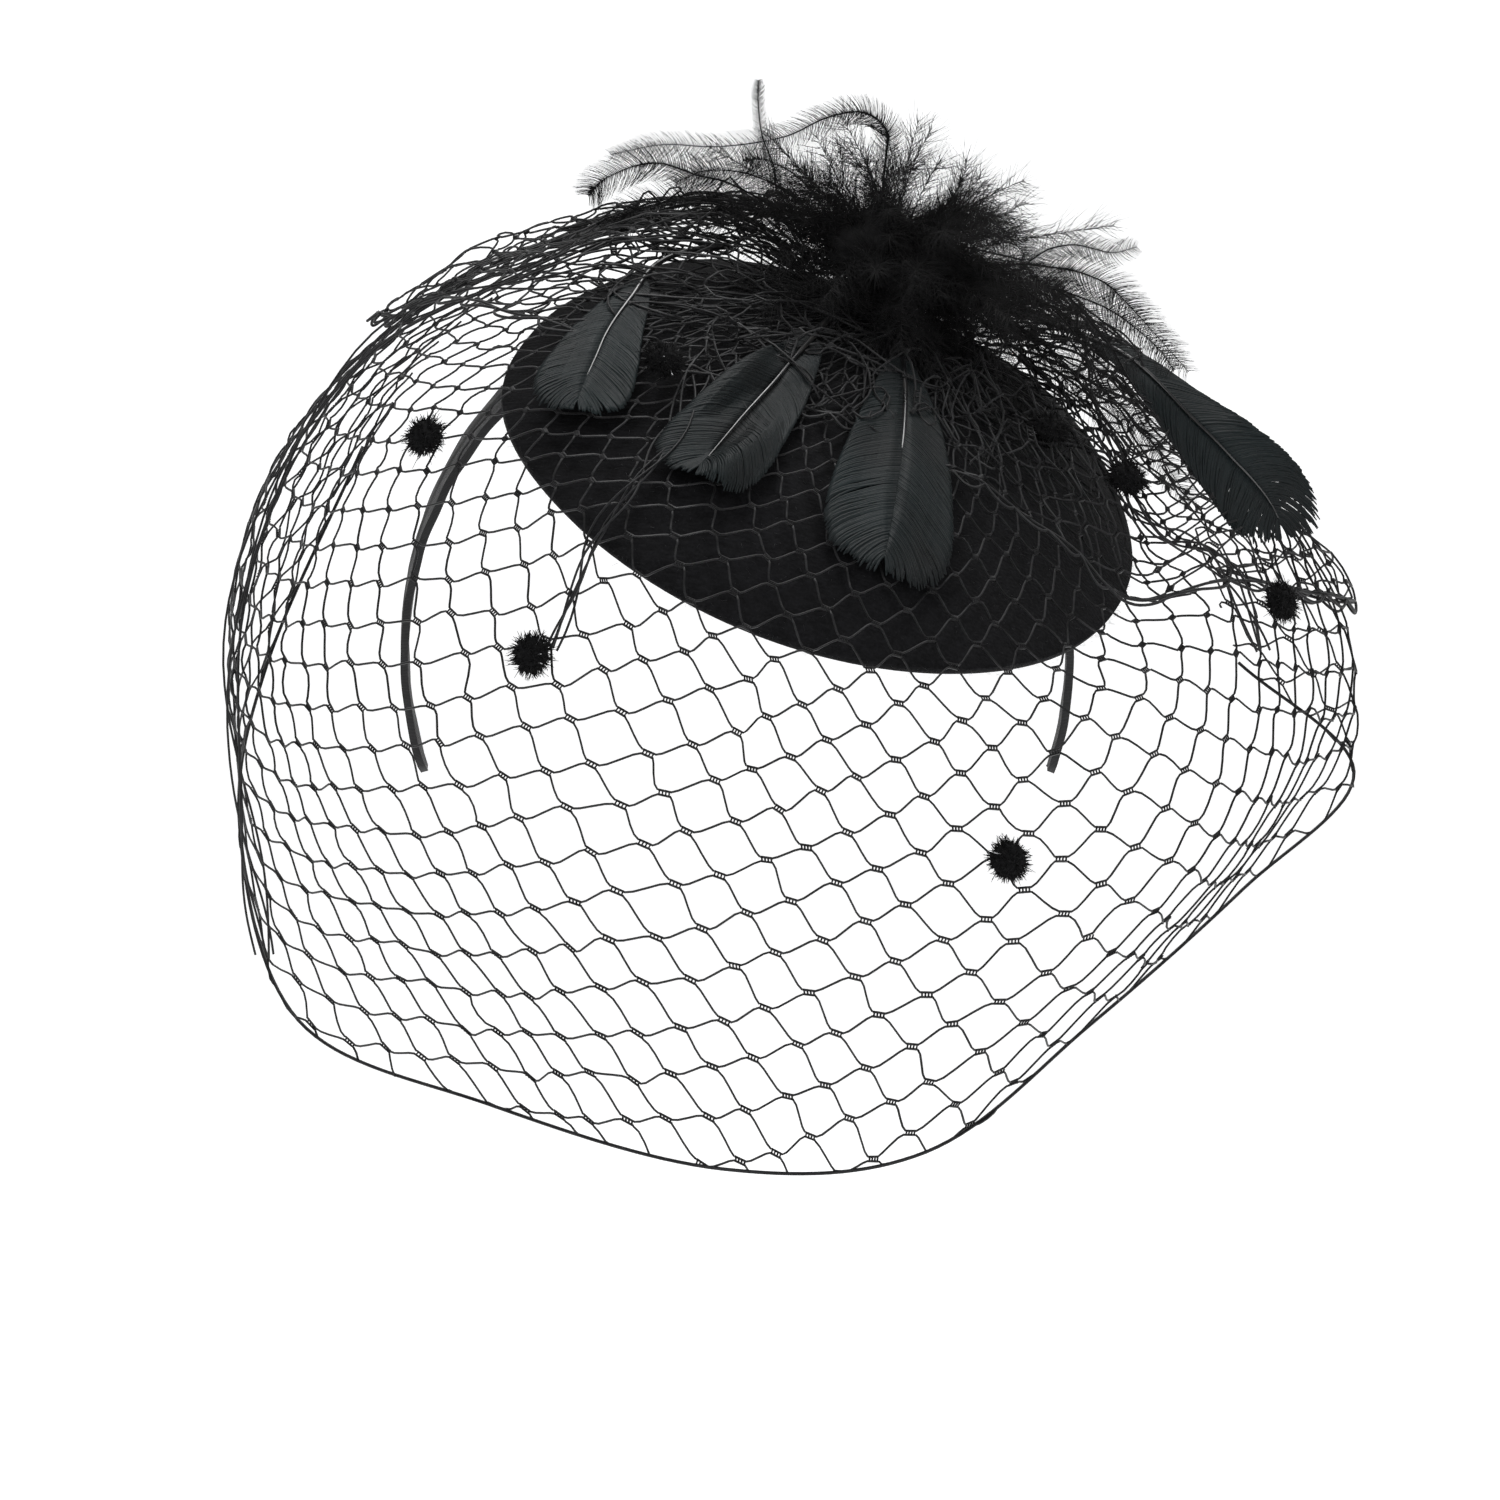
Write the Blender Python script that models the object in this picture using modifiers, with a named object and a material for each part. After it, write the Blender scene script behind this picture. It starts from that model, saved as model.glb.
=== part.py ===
"""Feather fascinator headband.

A felt saucer hat sits tilted on a cloth-covered headband. A netting veil is gathered
round the foot of a plume on the hat, lies over the felt and hangs to the chin. Four
paddle feathers and small chenille dots lie on the net.

Metres, +Z up. The wearer faces -Y and the wearer's left is +X. The origin is the
middle of the headband's crown, on its inner face, where the band rests on the head.
"""

import math
from collections import namedtuple
from functools import lru_cache

import bmesh
import bpy
import numpy as np
from mathutils import Vector

OBJECT_NAME = "feather_fascinator_headband"

# Clearance between pieces that touch on the real object.
SEAT_GAP = 0.0003

# Headband: an arch in a plane that leans back as it goes down.
BAND_HALF_WIDTH = 0.085
BAND_RISE = 0.099
BAND_END_ANGLE = math.radians(108)
BAND_LEAN = math.radians(25)
BAND_WIDTH = 0.015
BAND_END_WIDTH = 0.009
BAND_THICKNESS = 0.002
BAND_EDGE = 0.0006
BAND_STEPS = 40

# Hat: a shallow felt saucer. Its place is measured along its own rim plane,
# from the headband's crown.
HAT_WIDTH = 0.159
HAT_LENGTH = 0.182
HAT_DOME = 0.020
HAT_FELT = 0.002
HAT_LIP = 0.0024
HAT_ROLL = math.radians(23.6)
HAT_PITCH = math.radians(31)
HAT_ASIDE = 0.0347
HAT_FORWARD = 0.0504
DOME_POWER = 2.2
HAT_SIDES = 48
HAT_RINGS = 8

# The rim leaves a true oval: its radius at each angle, as a share of the oval's.
# Angles run from the wearer's left end of the rim towards the back.
RimRow = namedtuple("RimRow", "angle share")
RIM_SHAPE = [
    RimRow(0, 1.040),
    RimRow(30, 1.035),
    RimRow(60, 1.045),
    RimRow(90, 1.010),
    RimRow(120, 0.990),
    RimRow(150, 0.935),
    RimRow(180, 0.960),
    RimRow(210, 1.040),
    RimRow(240, 1.030),
    RimRow(270, 1.005),
    RimRow(300, 1.010),
    RimRow(330, 1.030),
]

# Veil: coarse diamond netting, gathered in a ring round the plume's foot.
MOUNT_SIDE = -0.02
MOUNT_BACK = 0.55
RING_RADIUS = 0.012
RING_START = math.radians(132)
RING_SWEEP = math.radians(290)
STRAND = 0.0013
VEIL_SLACK = 0.0002
VEIL_SPAN = 0.160
VEIL_REACH = 0.125
VEIL_DROP = 0.212
VEIL_PUFF = 0.025
CELLS_ACROSS = 13
KNOT_ROWS = [0.0, 0.36, 0.60, 0.81, 1.0]
STRAND_STEP = 0.012
COLUMN_SAMPLES = 72

# One row for each fold line of the veil, from the wearer's right back, round the
# front, to the left back. The rim is crossed at an angle of the hat, at a height
# above it that is a share of VEIL_PUFF. Below the rim, shoulder, bulge and hem are
# shares of VEIL_SPAN sideways, VEIL_REACH backwards and VEIL_DROP upwards.
VeilRow = namedtuple("VeilRow", "rim_angle crest shoulder bulge hem")
VEIL_ROWS = [
    VeilRow(112, 0.48, (-0.24, 0.32, 0.080), (-0.47, 0.38, -0.02), (-0.61, 0.40, -0.16)),
    VeilRow(133, 0.56, (-0.43, 0.16, 0.040), (-0.68, 0.24, -0.15), (-0.76, 0.29, -0.43)),
    VeilRow(150, 0.52, (-0.49, 0.00, 0.000), (-0.77, 0.06, -0.25), (-0.79, 0.08, -0.63)),
    VeilRow(177, 0.36, (-0.57, -0.18, -0.085), (-0.77, -0.18, -0.40), (-0.68, -0.22, -0.85)),
    VeilRow(213, 0.16, (-0.48, -0.66, -0.250), (-0.57, -0.64, -0.54), (-0.37, -0.63, -0.935)),
    VeilRow(262, 0.06, (-0.05, -0.99, -0.470), (-0.07, -1.02, -0.71), (-0.02, -0.96, -0.995)),
    VeilRow(305, 0.06, (0.36, -0.87, -0.540), (0.36, -0.92, -0.76), (0.28, -0.86, -0.980)),
    VeilRow(338, 0.16, (0.65, -0.55, -0.470), (0.69, -0.54, -0.66), (0.54, -0.42, -0.850)),
    VeilRow(368, 0.48, (0.80, -0.16, -0.290), (0.91, -0.10, -0.50), (0.80, 0.03, -0.700)),
    VeilRow(398, 0.96, (0.79, 0.10, -0.165), (0.97, 0.20, -0.37), (1.00, 0.34, -0.560)),
    VeilRow(430, 0.72, (0.61, 0.32, -0.100), (0.74, 0.42, -0.25), (0.82, 0.46, -0.425)),
]


def smooth(rows, share):
    """Catmull-Rom curve through the rows, read at a share of the way along them."""
    last = len(rows) - 1
    place = min(max(share, 0.0), 1.0) * last
    index = min(int(place), last - 1)
    t = place - index
    start, end = rows[index], rows[index + 1]
    before = rows[index - 1] if index > 0 else 2 * start - end
    after = rows[index + 2] if index + 2 <= last else 2 * end - start
    return 0.5 * (
        2 * start
        + (end - before) * t
        + (2 * before - 5 * start + 4 * end - after) * t * t
        + (3 * start - before - 3 * end + after) * t**3
    )


def unit(vector):
    """The vector at length one."""
    return vector / np.linalg.norm(vector)


# The hat's own axes: across the rim, towards its back, and up out of the dome.
HAT_ACROSS = np.array([math.cos(HAT_ROLL), 0.0, -math.sin(HAT_ROLL)])
HAT_BACK = np.array(
    [
        math.sin(HAT_PITCH) * math.sin(HAT_ROLL),
        math.cos(HAT_PITCH),
        math.sin(HAT_PITCH) * math.cos(HAT_ROLL),
    ]
)
HAT_UP = np.cross(HAT_ACROSS, HAT_BACK)


def rim_radius(angle):
    """Radius of the hat's rim at an angle in its own plane."""
    oval = 1.0 / math.hypot(
        math.cos(angle) / (HAT_WIDTH / 2), math.sin(angle) / (HAT_LENGTH / 2)
    )
    shares = np.array([row.share for row in RIM_SHAPE])
    count = len(shares)
    place = (math.degrees(angle) % 360.0) / 360.0 * count
    window = np.array([shares[(int(place) + step) % count] for step in range(-1, 3)])
    return oval * float(smooth(window, (1.0 + place % 1.0) / 3.0))


def dome_height(reach):
    """Height of the felt's outer face above the rim plane, at a share of the rim's radius."""
    return HAT_DOME * (1.0 - abs(reach) ** DOME_POWER)


def band_point(angle, outwards=0.0, across=0.0):
    """Point on the headband: angle from the crown, then outwards and across the band."""
    sideways = (BAND_HALF_WIDTH + outwards) * math.sin(angle)
    upwards = (BAND_RISE + outwards) * math.cos(angle) - BAND_RISE
    return np.array(
        [
            sideways,
            -upwards * math.sin(BAND_LEAN) + across * math.cos(BAND_LEAN),
            upwards * math.cos(BAND_LEAN) + across * math.sin(BAND_LEAN),
        ]
    )


def hat_seat():
    """How far the rim plane stands off the crown, so that the dome rests on the band."""
    lift = -HAT_DOME
    for step in range(-BAND_STEPS, BAND_STEPS + 1):
        angle = BAND_END_ANGLE * step / BAND_STEPS
        for across in (-BAND_WIDTH / 2, BAND_WIDTH / 2):
            corner = band_point(angle, BAND_THICKNESS, across)
            side = corner @ HAT_ACROSS - HAT_ASIDE
            back = corner @ HAT_BACK + HAT_FORWARD
            reach = math.hypot(side, back) / rim_radius(math.atan2(back, side))
            if reach < 1.0:
                room = dome_height(reach) - HAT_FELT - SEAT_GAP
                lift = max(lift, corner @ HAT_UP - room)
    return lift


HAT_CENTRE = HAT_ACROSS * HAT_ASIDE - HAT_BACK * HAT_FORWARD + HAT_UP * hat_seat()


def hat_point(side, back, height):
    """Point in the hat's own frame: across and back in the rim plane, and above it."""
    return HAT_CENTRE + HAT_ACROSS * side + HAT_BACK * back + HAT_UP * height


def felt_height(side, back):
    """Height of the felt above the rim plane at a place in that plane."""
    reach = math.hypot(side, back) / rim_radius(math.atan2(back, side))
    return dome_height(min(reach, 1.0))


def felt_normal(side, back):
    """Direction out of the felt at a place in the rim plane."""
    step = HAT_FELT
    here, beside, behind = (
        hat_point(a, b, felt_height(a, b))
        for a, b in ((side, back), (side + step, back), (side, back + step))
    )
    return unit(np.cross(beside - here, behind - here))


MOUNT = np.array([MOUNT_SIDE * HAT_WIDTH / 2, MOUNT_BACK * HAT_LENGTH / 2])
VEIL_CLEARANCE = SEAT_GAP + STRAND / 2 + VEIL_SLACK


def column_row(share):
    """The veil's fold line at a share of the way round, between the rows of the table."""
    table = np.array(
        [
            [row.rim_angle, row.crest, *row.shoulder, *row.bulge, *row.hem]
            for row in VEIL_ROWS
        ]
    )
    return smooth(table, share)


@lru_cache(maxsize=None)
def veil_column(share):
    """Points down one fold line of the veil, evenly spaced from the ring to the hem."""
    row = column_row(share)
    rim_angle, crest = math.radians(row[0]), row[1] * VEIL_PUFF
    ring_angle = RING_START + RING_SWEEP * share
    ring = MOUNT + RING_RADIUS * np.array([math.cos(ring_angle), math.sin(ring_angle)])
    edge = (rim_radius(rim_angle) + VEIL_CLEARANCE) * np.array(
        [math.cos(rim_angle), math.sin(rim_angle)]
    )
    controls = []
    for part in (0.0, 0.25, 0.5, 0.75, 1.0):
        side, back = ring + (edge - ring) * part
        rise = crest * part * part * (3 - 2 * part)
        controls.append(
            hat_point(side, back, felt_height(side, back) + VEIL_CLEARANCE + rise)
        )
    sizes = np.array([VEIL_SPAN, VEIL_REACH, VEIL_DROP])
    controls += [row[place : place + 3] * sizes for place in (2, 5, 8)]
    controls = np.array(controls)

    points = np.array(
        [clear_of_hat(smooth(controls, k / COLUMN_SAMPLES)) for k in range(COLUMN_SAMPLES + 1)]
    )
    lengths = np.concatenate(
        [[0.0], np.cumsum(np.linalg.norm(np.diff(points, axis=0), axis=1))]
    )
    even = np.linspace(0.0, lengths[-1], COLUMN_SAMPLES + 1)
    return np.array([np.interp(even, lengths, points[:, axis]) for axis in range(3)]).T


def clear_of_hat(point):
    """The point, lifted off the felt where it would come closer than the netting lies."""
    local = point - HAT_CENTRE
    side, back, height = local @ HAT_ACROSS, local @ HAT_BACK, local @ HAT_UP
    rim = rim_radius(math.atan2(back, side)) + VEIL_CLEARANCE
    if math.hypot(side, back) > rim:
        return point
    least = felt_height(side, back) + VEIL_CLEARANCE
    return hat_point(side, back, max(height, least))


def veil_point(around, down):
    """Point on the veil: a share of the way round, and a share of the way to the hem."""
    column = veil_column(round(around, 6))
    place = min(max(down, 0.0), 1.0) * COLUMN_SAMPLES
    index = min(int(place), COLUMN_SAMPLES - 1)
    return column[index] + (column[index + 1] - column[index]) * (place - index)


def veil_normal(around, down):
    """Direction out of the veil, away from the head, at a place on it."""
    step = 0.01
    sideways = veil_point(min(around + step, 1.0), down) - veil_point(max(around - step, 0.0), down)
    downwards = veil_point(around, min(down + step, 1.0)) - veil_point(around, max(down - step, 0.0))
    return unit(np.cross(downwards, sideways))


def new_object(name, mesh, material, collection):
    """An object of the mesh, with its material, in the collection."""
    item = bpy.data.objects.new(name, mesh)
    mesh.materials.append(material)
    collection.objects.link(item)
    return item


def new_material(name, colour, roughness, metallic=0.0):
    """A Principled material."""
    material = bpy.data.materials.new(name)
    material.use_nodes = True
    shader = material.node_tree.nodes["Principled BSDF"]
    shader.inputs["Base Color"].default_value = (*colour, 1.0)
    shader.inputs["Roughness"].default_value = roughness
    shader.inputs["Metallic"].default_value = metallic
    return material


def finished_mesh(name, build):
    """The bmesh as a smooth-shaded mesh with its faces pointing out."""
    bmesh.ops.recalc_face_normals(build, faces=build.faces)
    mesh = bpy.data.meshes.new(name)
    build.to_mesh(mesh)
    build.free()
    mesh.shade_smooth()
    mesh.set_sharp_from_angle(angle=math.radians(50))
    return mesh


def lofted(name, sections):
    """A closed mesh through sections that all have the same number of points."""
    build = bmesh.new()
    rings = [[build.verts.new(Vector(point)) for point in section] for section in sections]
    sides = len(rings[0])
    for start, end in zip(rings, rings[1:]):
        for side in range(sides):
            other = (side + 1) % sides
            build.faces.new((start[side], start[other], end[other], end[side]))
    build.faces.new(rings[0])
    build.faces.new(rings[-1])
    return finished_mesh(name, build)


def oval(centre, wide, thick, half_width, half_thickness, sides):
    """Points round an oval section, with its width and its thickness along two directions."""
    turns = [2 * math.pi * side / sides for side in range(sides)]
    return [
        centre + wide * half_width * math.cos(turn) + thick * half_thickness * math.sin(turn)
        for turn in turns
    ]


def build_headband(material, collection):
    """The covered band: a strip bent along the arch, thickened outwards, with round ends."""
    build = bmesh.new()
    bmesh.ops.create_grid(build, x_segments=BAND_STEPS, y_segments=2, size=1.0)
    for vert in build.verts:
        share = abs(vert.co.x)
        narrowed = BAND_WIDTH + (BAND_END_WIDTH - BAND_WIDTH) * share**2
        if share > 1 - 1 / BAND_STEPS:
            narrowed *= BAND_END_WIDTH / BAND_WIDTH
        angle = BAND_END_ANGLE * vert.co.x
        vert.co = Vector(band_point(angle, 0.0, vert.co.y * narrowed / 2))
    bmesh.ops.recalc_face_normals(build, faces=build.faces)
    crown = min(build.faces, key=lambda face: face.calc_center_median().length)
    if crown.normal.z < 0:
        bmesh.ops.reverse_faces(build, faces=build.faces)
    mesh = bpy.data.meshes.new("headband")
    build.to_mesh(mesh)
    build.free()
    band = new_object("headband", mesh, material, collection)
    wall = band.modifiers.new("Wall", "SOLIDIFY")
    wall.thickness = BAND_THICKNESS
    wall.offset = 1.0
    edge = band.modifiers.new("Edge", "BEVEL")
    edge.width = BAND_EDGE
    edge.segments = 1
    edge.limit_method = "ANGLE"
    edge.angle_limit = math.radians(50)
    mesh.shade_smooth()
    return band


def build_hat(material, collection):
    """The felt saucer: a turned dome with a turned-down lip, stretched to the rim's shape."""
    build = bmesh.new()
    profile = [
        build.verts.new((ring / HAT_RINGS, 0.0, dome_height(ring / HAT_RINGS)))
        for ring in range(HAT_RINGS + 1)
    ]
    profile.append(build.verts.new((1.0, 0.0, -HAT_LIP)))
    edges = [build.edges.new(pair) for pair in zip(profile, profile[1:])]
    bmesh.ops.spin(
        build,
        geom=profile + edges,
        cent=(0, 0, 0),
        axis=(0, 0, 1),
        angle=2 * math.pi,
        steps=HAT_SIDES,
        use_merge=True,
    )
    bmesh.ops.remove_doubles(build, verts=build.verts, dist=SEAT_GAP / 3)
    for vert in build.verts:
        angle = math.atan2(vert.co.y, vert.co.x)
        radius = rim_radius(angle) - (HAT_LIP / 2 if vert.co.z < -HAT_LIP / 2 else 0.0)
        side, back = vert.co.x * radius, vert.co.y * radius
        vert.co = Vector(hat_point(side, back, vert.co.z))
    bmesh.ops.recalc_face_normals(build, faces=build.faces)
    top = max(build.faces, key=lambda face: face.calc_center_median() @ Vector(HAT_UP))
    if top.normal @ Vector(HAT_UP) < 0:
        bmesh.ops.reverse_faces(build, faces=build.faces)
    mesh = bpy.data.meshes.new("hat_base")
    build.to_mesh(mesh)
    build.free()
    mesh.shade_smooth()
    hat = new_object("hat_base", mesh, material, collection)
    wall = hat.modifiers.new("Felt", "SOLIDIFY")
    wall.thickness = HAT_FELT
    wall.offset = -1.0
    wall.use_even_offset = True
    return hat


# Chenille dots, by their places on the veil.
DOT_WIDTH = 0.011
DOT_DEPTH = 0.007
DOT_SEGMENTS = 10
DOT_RINGS = 5
Dot = namedtuple("Dot", "name around down")
DOTS = [
    Dot("dot_temple", 0.395, 0.437),
    Dot("dot_brow", 0.453, 0.580),
    Dot("dot_cheek", 0.605, 0.710),
    Dot("dot_side", 0.782, 0.603),
    Dot("dot_rim", 0.792, 0.330),
    Dot("dot_crown", 0.427, 0.262),
    Dot("dot_hat_edge", 0.752, 0.230),
]


def knot_places():
    """Places of the veil's knots by column and row, half numbers being the knots between.

    Each dot is sewn to a knot, so the knot nearest to it moves to the dot's place.
    """
    places = {}
    for row, down in enumerate(KNOT_ROWS):
        for column in range(CELLS_ACROSS + 1):
            places[column, row] = (column / CELLS_ACROSS, down)
        if row + 1 < len(KNOT_ROWS):
            for column in range(CELLS_ACROSS):
                middle = (down + KNOT_ROWS[row + 1]) / 2
                places[column + 0.5, row + 0.5] = ((column + 0.5) / CELLS_ACROSS, middle)
    inner = [knot for knot in places if 0 < knot[1] < len(KNOT_ROWS) - 1]
    for dot in DOTS:
        spot = veil_point(dot.around, dot.down)
        nearest = min(inner, key=lambda knot: np.linalg.norm(veil_point(*places[knot]) - spot))
        places[nearest] = (dot.around, dot.down)
        inner.remove(nearest)
    return places


def veil_gaps():
    """The veil's openings: rings of knots, whole diamonds inside and half ones at its edges."""
    rows = len(KNOT_ROWS) - 1
    gaps = []
    for row in range(rows):
        for column in range(CELLS_ACROSS + 1):
            ring = [(column, row), (column + 0.5, row + 0.5), (column, row + 1)]
            if column == CELLS_ACROSS:
                ring.remove((column + 0.5, row + 0.5))
            if column > 0:
                ring.append((column - 0.5, row + 0.5))
            gaps.append(ring)
    for row in range(rows + 1):
        for column in range(CELLS_ACROSS):
            ring = [(column, row), (column + 1, row)]
            if row < rows:
                ring.insert(1, (column + 0.5, row + 0.5))
            if row > 0:
                ring.append((column + 0.5, row - 0.5))
            gaps.append(ring)
    return gaps


def veil_border():
    """The veil's outer edge as a ring of knots: gather, right side, hem and left side."""
    last = len(KNOT_ROWS) - 1
    gather = [(column, 0) for column in range(CELLS_ACROSS)]
    right = [(CELLS_ACROSS, row) for row in range(last)]
    hem = [(column, last) for column in range(CELLS_ACROSS, 0, -1)]
    left = [(0, row) for row in range(last, 0, -1)]
    return gather + right + hem + left


def strand_corner(before, here, after, out, inward):
    """Where the faces of two strands meet, half a strand to the inner side of their corner."""
    first, second = unit(here - before), unit(after - here)
    sides = inward * np.cross(out, first), inward * np.cross(out, second)
    middle = unit(unit(sides[0]) + unit(sides[1]))
    mitre = STRAND / 2 / max(float(middle @ unit(sides[0])), 0.1)
    room = min(np.linalg.norm(here - before), np.linalg.norm(after - here)) / 3
    return here + middle * min(mitre, room)


def build_veil(material, collection):
    """The netting: four-sided strands along the edges of the diamonds, open in between.

    Every strand has a ridge above and below the veil's surface. Each opening, and the
    outside, has a ring of corners half a strand away from it, which the ridges join.
    """
    places = knot_places()
    build = bmesh.new()
    points, ridges, strands = [], [], {}

    def add_point(place):
        """A place on the veil as a point with its two ridge vertices, by number."""
        point, out = veil_point(*place), veil_normal(*place)
        points.append((point, out))
        ridges.append([build.verts.new(Vector(point + out * STRAND / 2 * s)) for s in (1, -1)])
        return len(points) - 1

    def strand(start, end):
        """Points between two knots, shared by the openings on both sides."""
        key = tuple(sorted((start, end)))
        if key not in strands:
            first, last = np.array(places[key[0]]), np.array(places[key[1]])
            length = np.linalg.norm(veil_point(*first) - veil_point(*last))
            steps = max(1, round(length / STRAND_STEP))
            strands[key] = [add_point(place) for place in np.linspace(first, last, steps + 1)[1:-1]]
        return strands[key] if key == (start, end) else strands[key][::-1]

    knots = {knot: add_point(place) for knot, place in places.items()}
    rings = [(ring, 1) for ring in veil_gaps()] + [(veil_border(), -1)]
    for ring, facing in rings:
        outline = []
        for start, end in zip(ring, ring[1:] + ring[:1]):
            outline += [knots[start], *strand(start, end)]
        spots = [points[number][0] for number in outline]
        area = sum(np.cross(a, b) for a, b in zip(spots, spots[1:] + spots[:1]))
        out = sum(points[number][1] for number in outline)
        inward = facing * math.copysign(1.0, float(area @ out))
        corners = []
        for k, number in enumerate(outline):
            before, after = spots[k - 1], spots[(k + 1) % len(spots)]
            corner = strand_corner(before, spots[k], after, points[number][1], inward)
            corners.append(build.verts.new(Vector(corner)))
        for k in range(len(outline)):
            other = (k + 1) % len(outline)
            above, below = ridges[outline[k]]
            next_above, next_below = ridges[outline[other]]
            build.faces.new((above, next_above, corners[other], corners[k]))
            build.faces.new((next_below, below, corners[k], corners[other]))
    return new_object("veil", finished_mesh("veil", build), material, collection)


def build_dots(material, collection):
    """The chenille dots: low round balls, each seated on its knot."""
    for dot in DOTS:
        out = Vector(veil_normal(dot.around, dot.down))
        seat = STRAND / 2 + SEAT_GAP + DOT_DEPTH / 2
        centre = Vector(veil_point(dot.around, dot.down)) + out * seat
        build = bmesh.new()
        bmesh.ops.create_uvsphere(
            build, u_segments=DOT_SEGMENTS, v_segments=DOT_RINGS, radius=DOT_WIDTH / 2
        )
        for vert in build.verts:
            vert.co.z *= DOT_DEPTH / DOT_WIDTH
        ball = new_object(dot.name, finished_mesh(dot.name, build), material, collection)
        ball.rotation_mode = "QUATERNION"
        ball.rotation_quaternion = Vector((0, 0, 1)).rotation_difference(out)
        ball.location = centre


# Paddle feathers: a stripped quill and a trimmed vane, along places on the veil.
VANE_THICKNESS = 0.0012
QUILL_WIDTH = 0.0018
PADDLE_SLACK = 0.0004
PADDLE_STATIONS = 16

# Each paddle's width is a share of PADDLE_WIDTH, and its places are shares round and down
# the veil.
PADDLE_WIDTH = 0.025
Paddle = namedtuple("Paddle", "name width_share quill_share places")
PADDLES = [
    Paddle(
        "paddle_right",
        0.96,
        0.34,
        ((0.965, 0.14), (0.925, 0.21), (0.897, 0.30), (0.838, 0.46), (0.808, 0.56)),
    ),
    Paddle(
        "paddle_left",
        0.88,
        0.40,
        ((0.200, 0.110), (0.260, 0.150), (0.340, 0.200), (0.395, 0.275), (0.427, 0.360)),
    ),
    Paddle(
        "paddle_front",
        1.0,
        0.22,
        ((0.430, 0.045), (0.455, 0.100), (0.470, 0.190), (0.475, 0.290), (0.477, 0.377)),
    ),
    Paddle(
        "paddle_centre",
        1.24,
        0.14,
        ((0.573, 0.030), (0.572, 0.110), (0.567, 0.210), (0.562, 0.320), (0.560, 0.423)),
    ),
]

# Half width of the trimmed vane along its length, as a share of its widest.
VaneRow = namedtuple("VaneRow", "along half_width")
VANE_SHAPE = [
    VaneRow(0.00, 0.10),
    VaneRow(0.12, 0.50),
    VaneRow(0.35, 0.82),
    VaneRow(0.65, 1.00),
    VaneRow(0.88, 0.86),
    VaneRow(1.00, 0.45),
]


def vane_half_width(along, width):
    """Half the vane's width at a share of its length."""
    places = [row.along for row in VANE_SHAPE]
    shares = [row.half_width for row in VANE_SHAPE]
    return float(np.interp(along, places, shares)) * width / 2


def build_paddles(material, collection):
    """The paddle feathers: thin lofts that lie over the netting."""
    lie = STRAND / 2 + SEAT_GAP + VANE_THICKNESS / 2 + PADDLE_SLACK
    for paddle in PADDLES:
        places = np.array(paddle.places)
        shares = [k / (PADDLE_STATIONS - 1) for k in range(PADDLE_STATIONS)]
        route = [smooth(places, share) for share in shares]
        normals = [veil_normal(*place) for place in route]
        line = [veil_point(*place) + normal * lie for place, normal in zip(route, normals)]
        sections = []
        for k, share in enumerate(shares):
            ahead = unit(line[min(k + 1, len(line) - 1)] - line[max(k - 1, 0)])
            wide = unit(np.cross(normals[k], ahead))
            half = QUILL_WIDTH / 2
            if share > paddle.quill_share:
                along = (share - paddle.quill_share) / (1 - paddle.quill_share)
                width = PADDLE_WIDTH * paddle.width_share
                half = max(half, vane_half_width(along, width))
            sections.append(oval(line[k], wide, normals[k], half, VANE_THICKNESS / 2, 6))
        new_object(paddle.name, lofted(paddle.name, sections), material, collection)


# Plume: a dense head of fluff on a foot, with curled fronds.
PLUME_REACH = 0.080
PLUME_DEPTH = 0.040
PLUME_HEIGHT = 0.060
PLUME_FOOT_RADIUS = 0.005
PLUME_FOOT_HEIGHT = 0.012
PLUME_HEAD_LIFT = 0.017
PLUME_HEAD_WIDTH = 0.046
PLUME_HEAD_DEPTH = 0.032
PLUME_HEAD_HEIGHT = 0.026
FROND_STATIONS = 8
FROND_SIDES = 5
FROND_THICKNESS_SHARE = 0.4

# Short tufts stand round the head and droop towards the felt, less far at the back,
# where the netting rises.
TUFT_COUNT = 12
TUFT_WIDTH = 0.013
TUFT_LONG_REACH = 0.030
TUFT_SHORT_REACH = 0.024
TUFT_FRONT_HEIGHT = 0.008
TUFT_BACK_HEIGHT = 0.022

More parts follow.
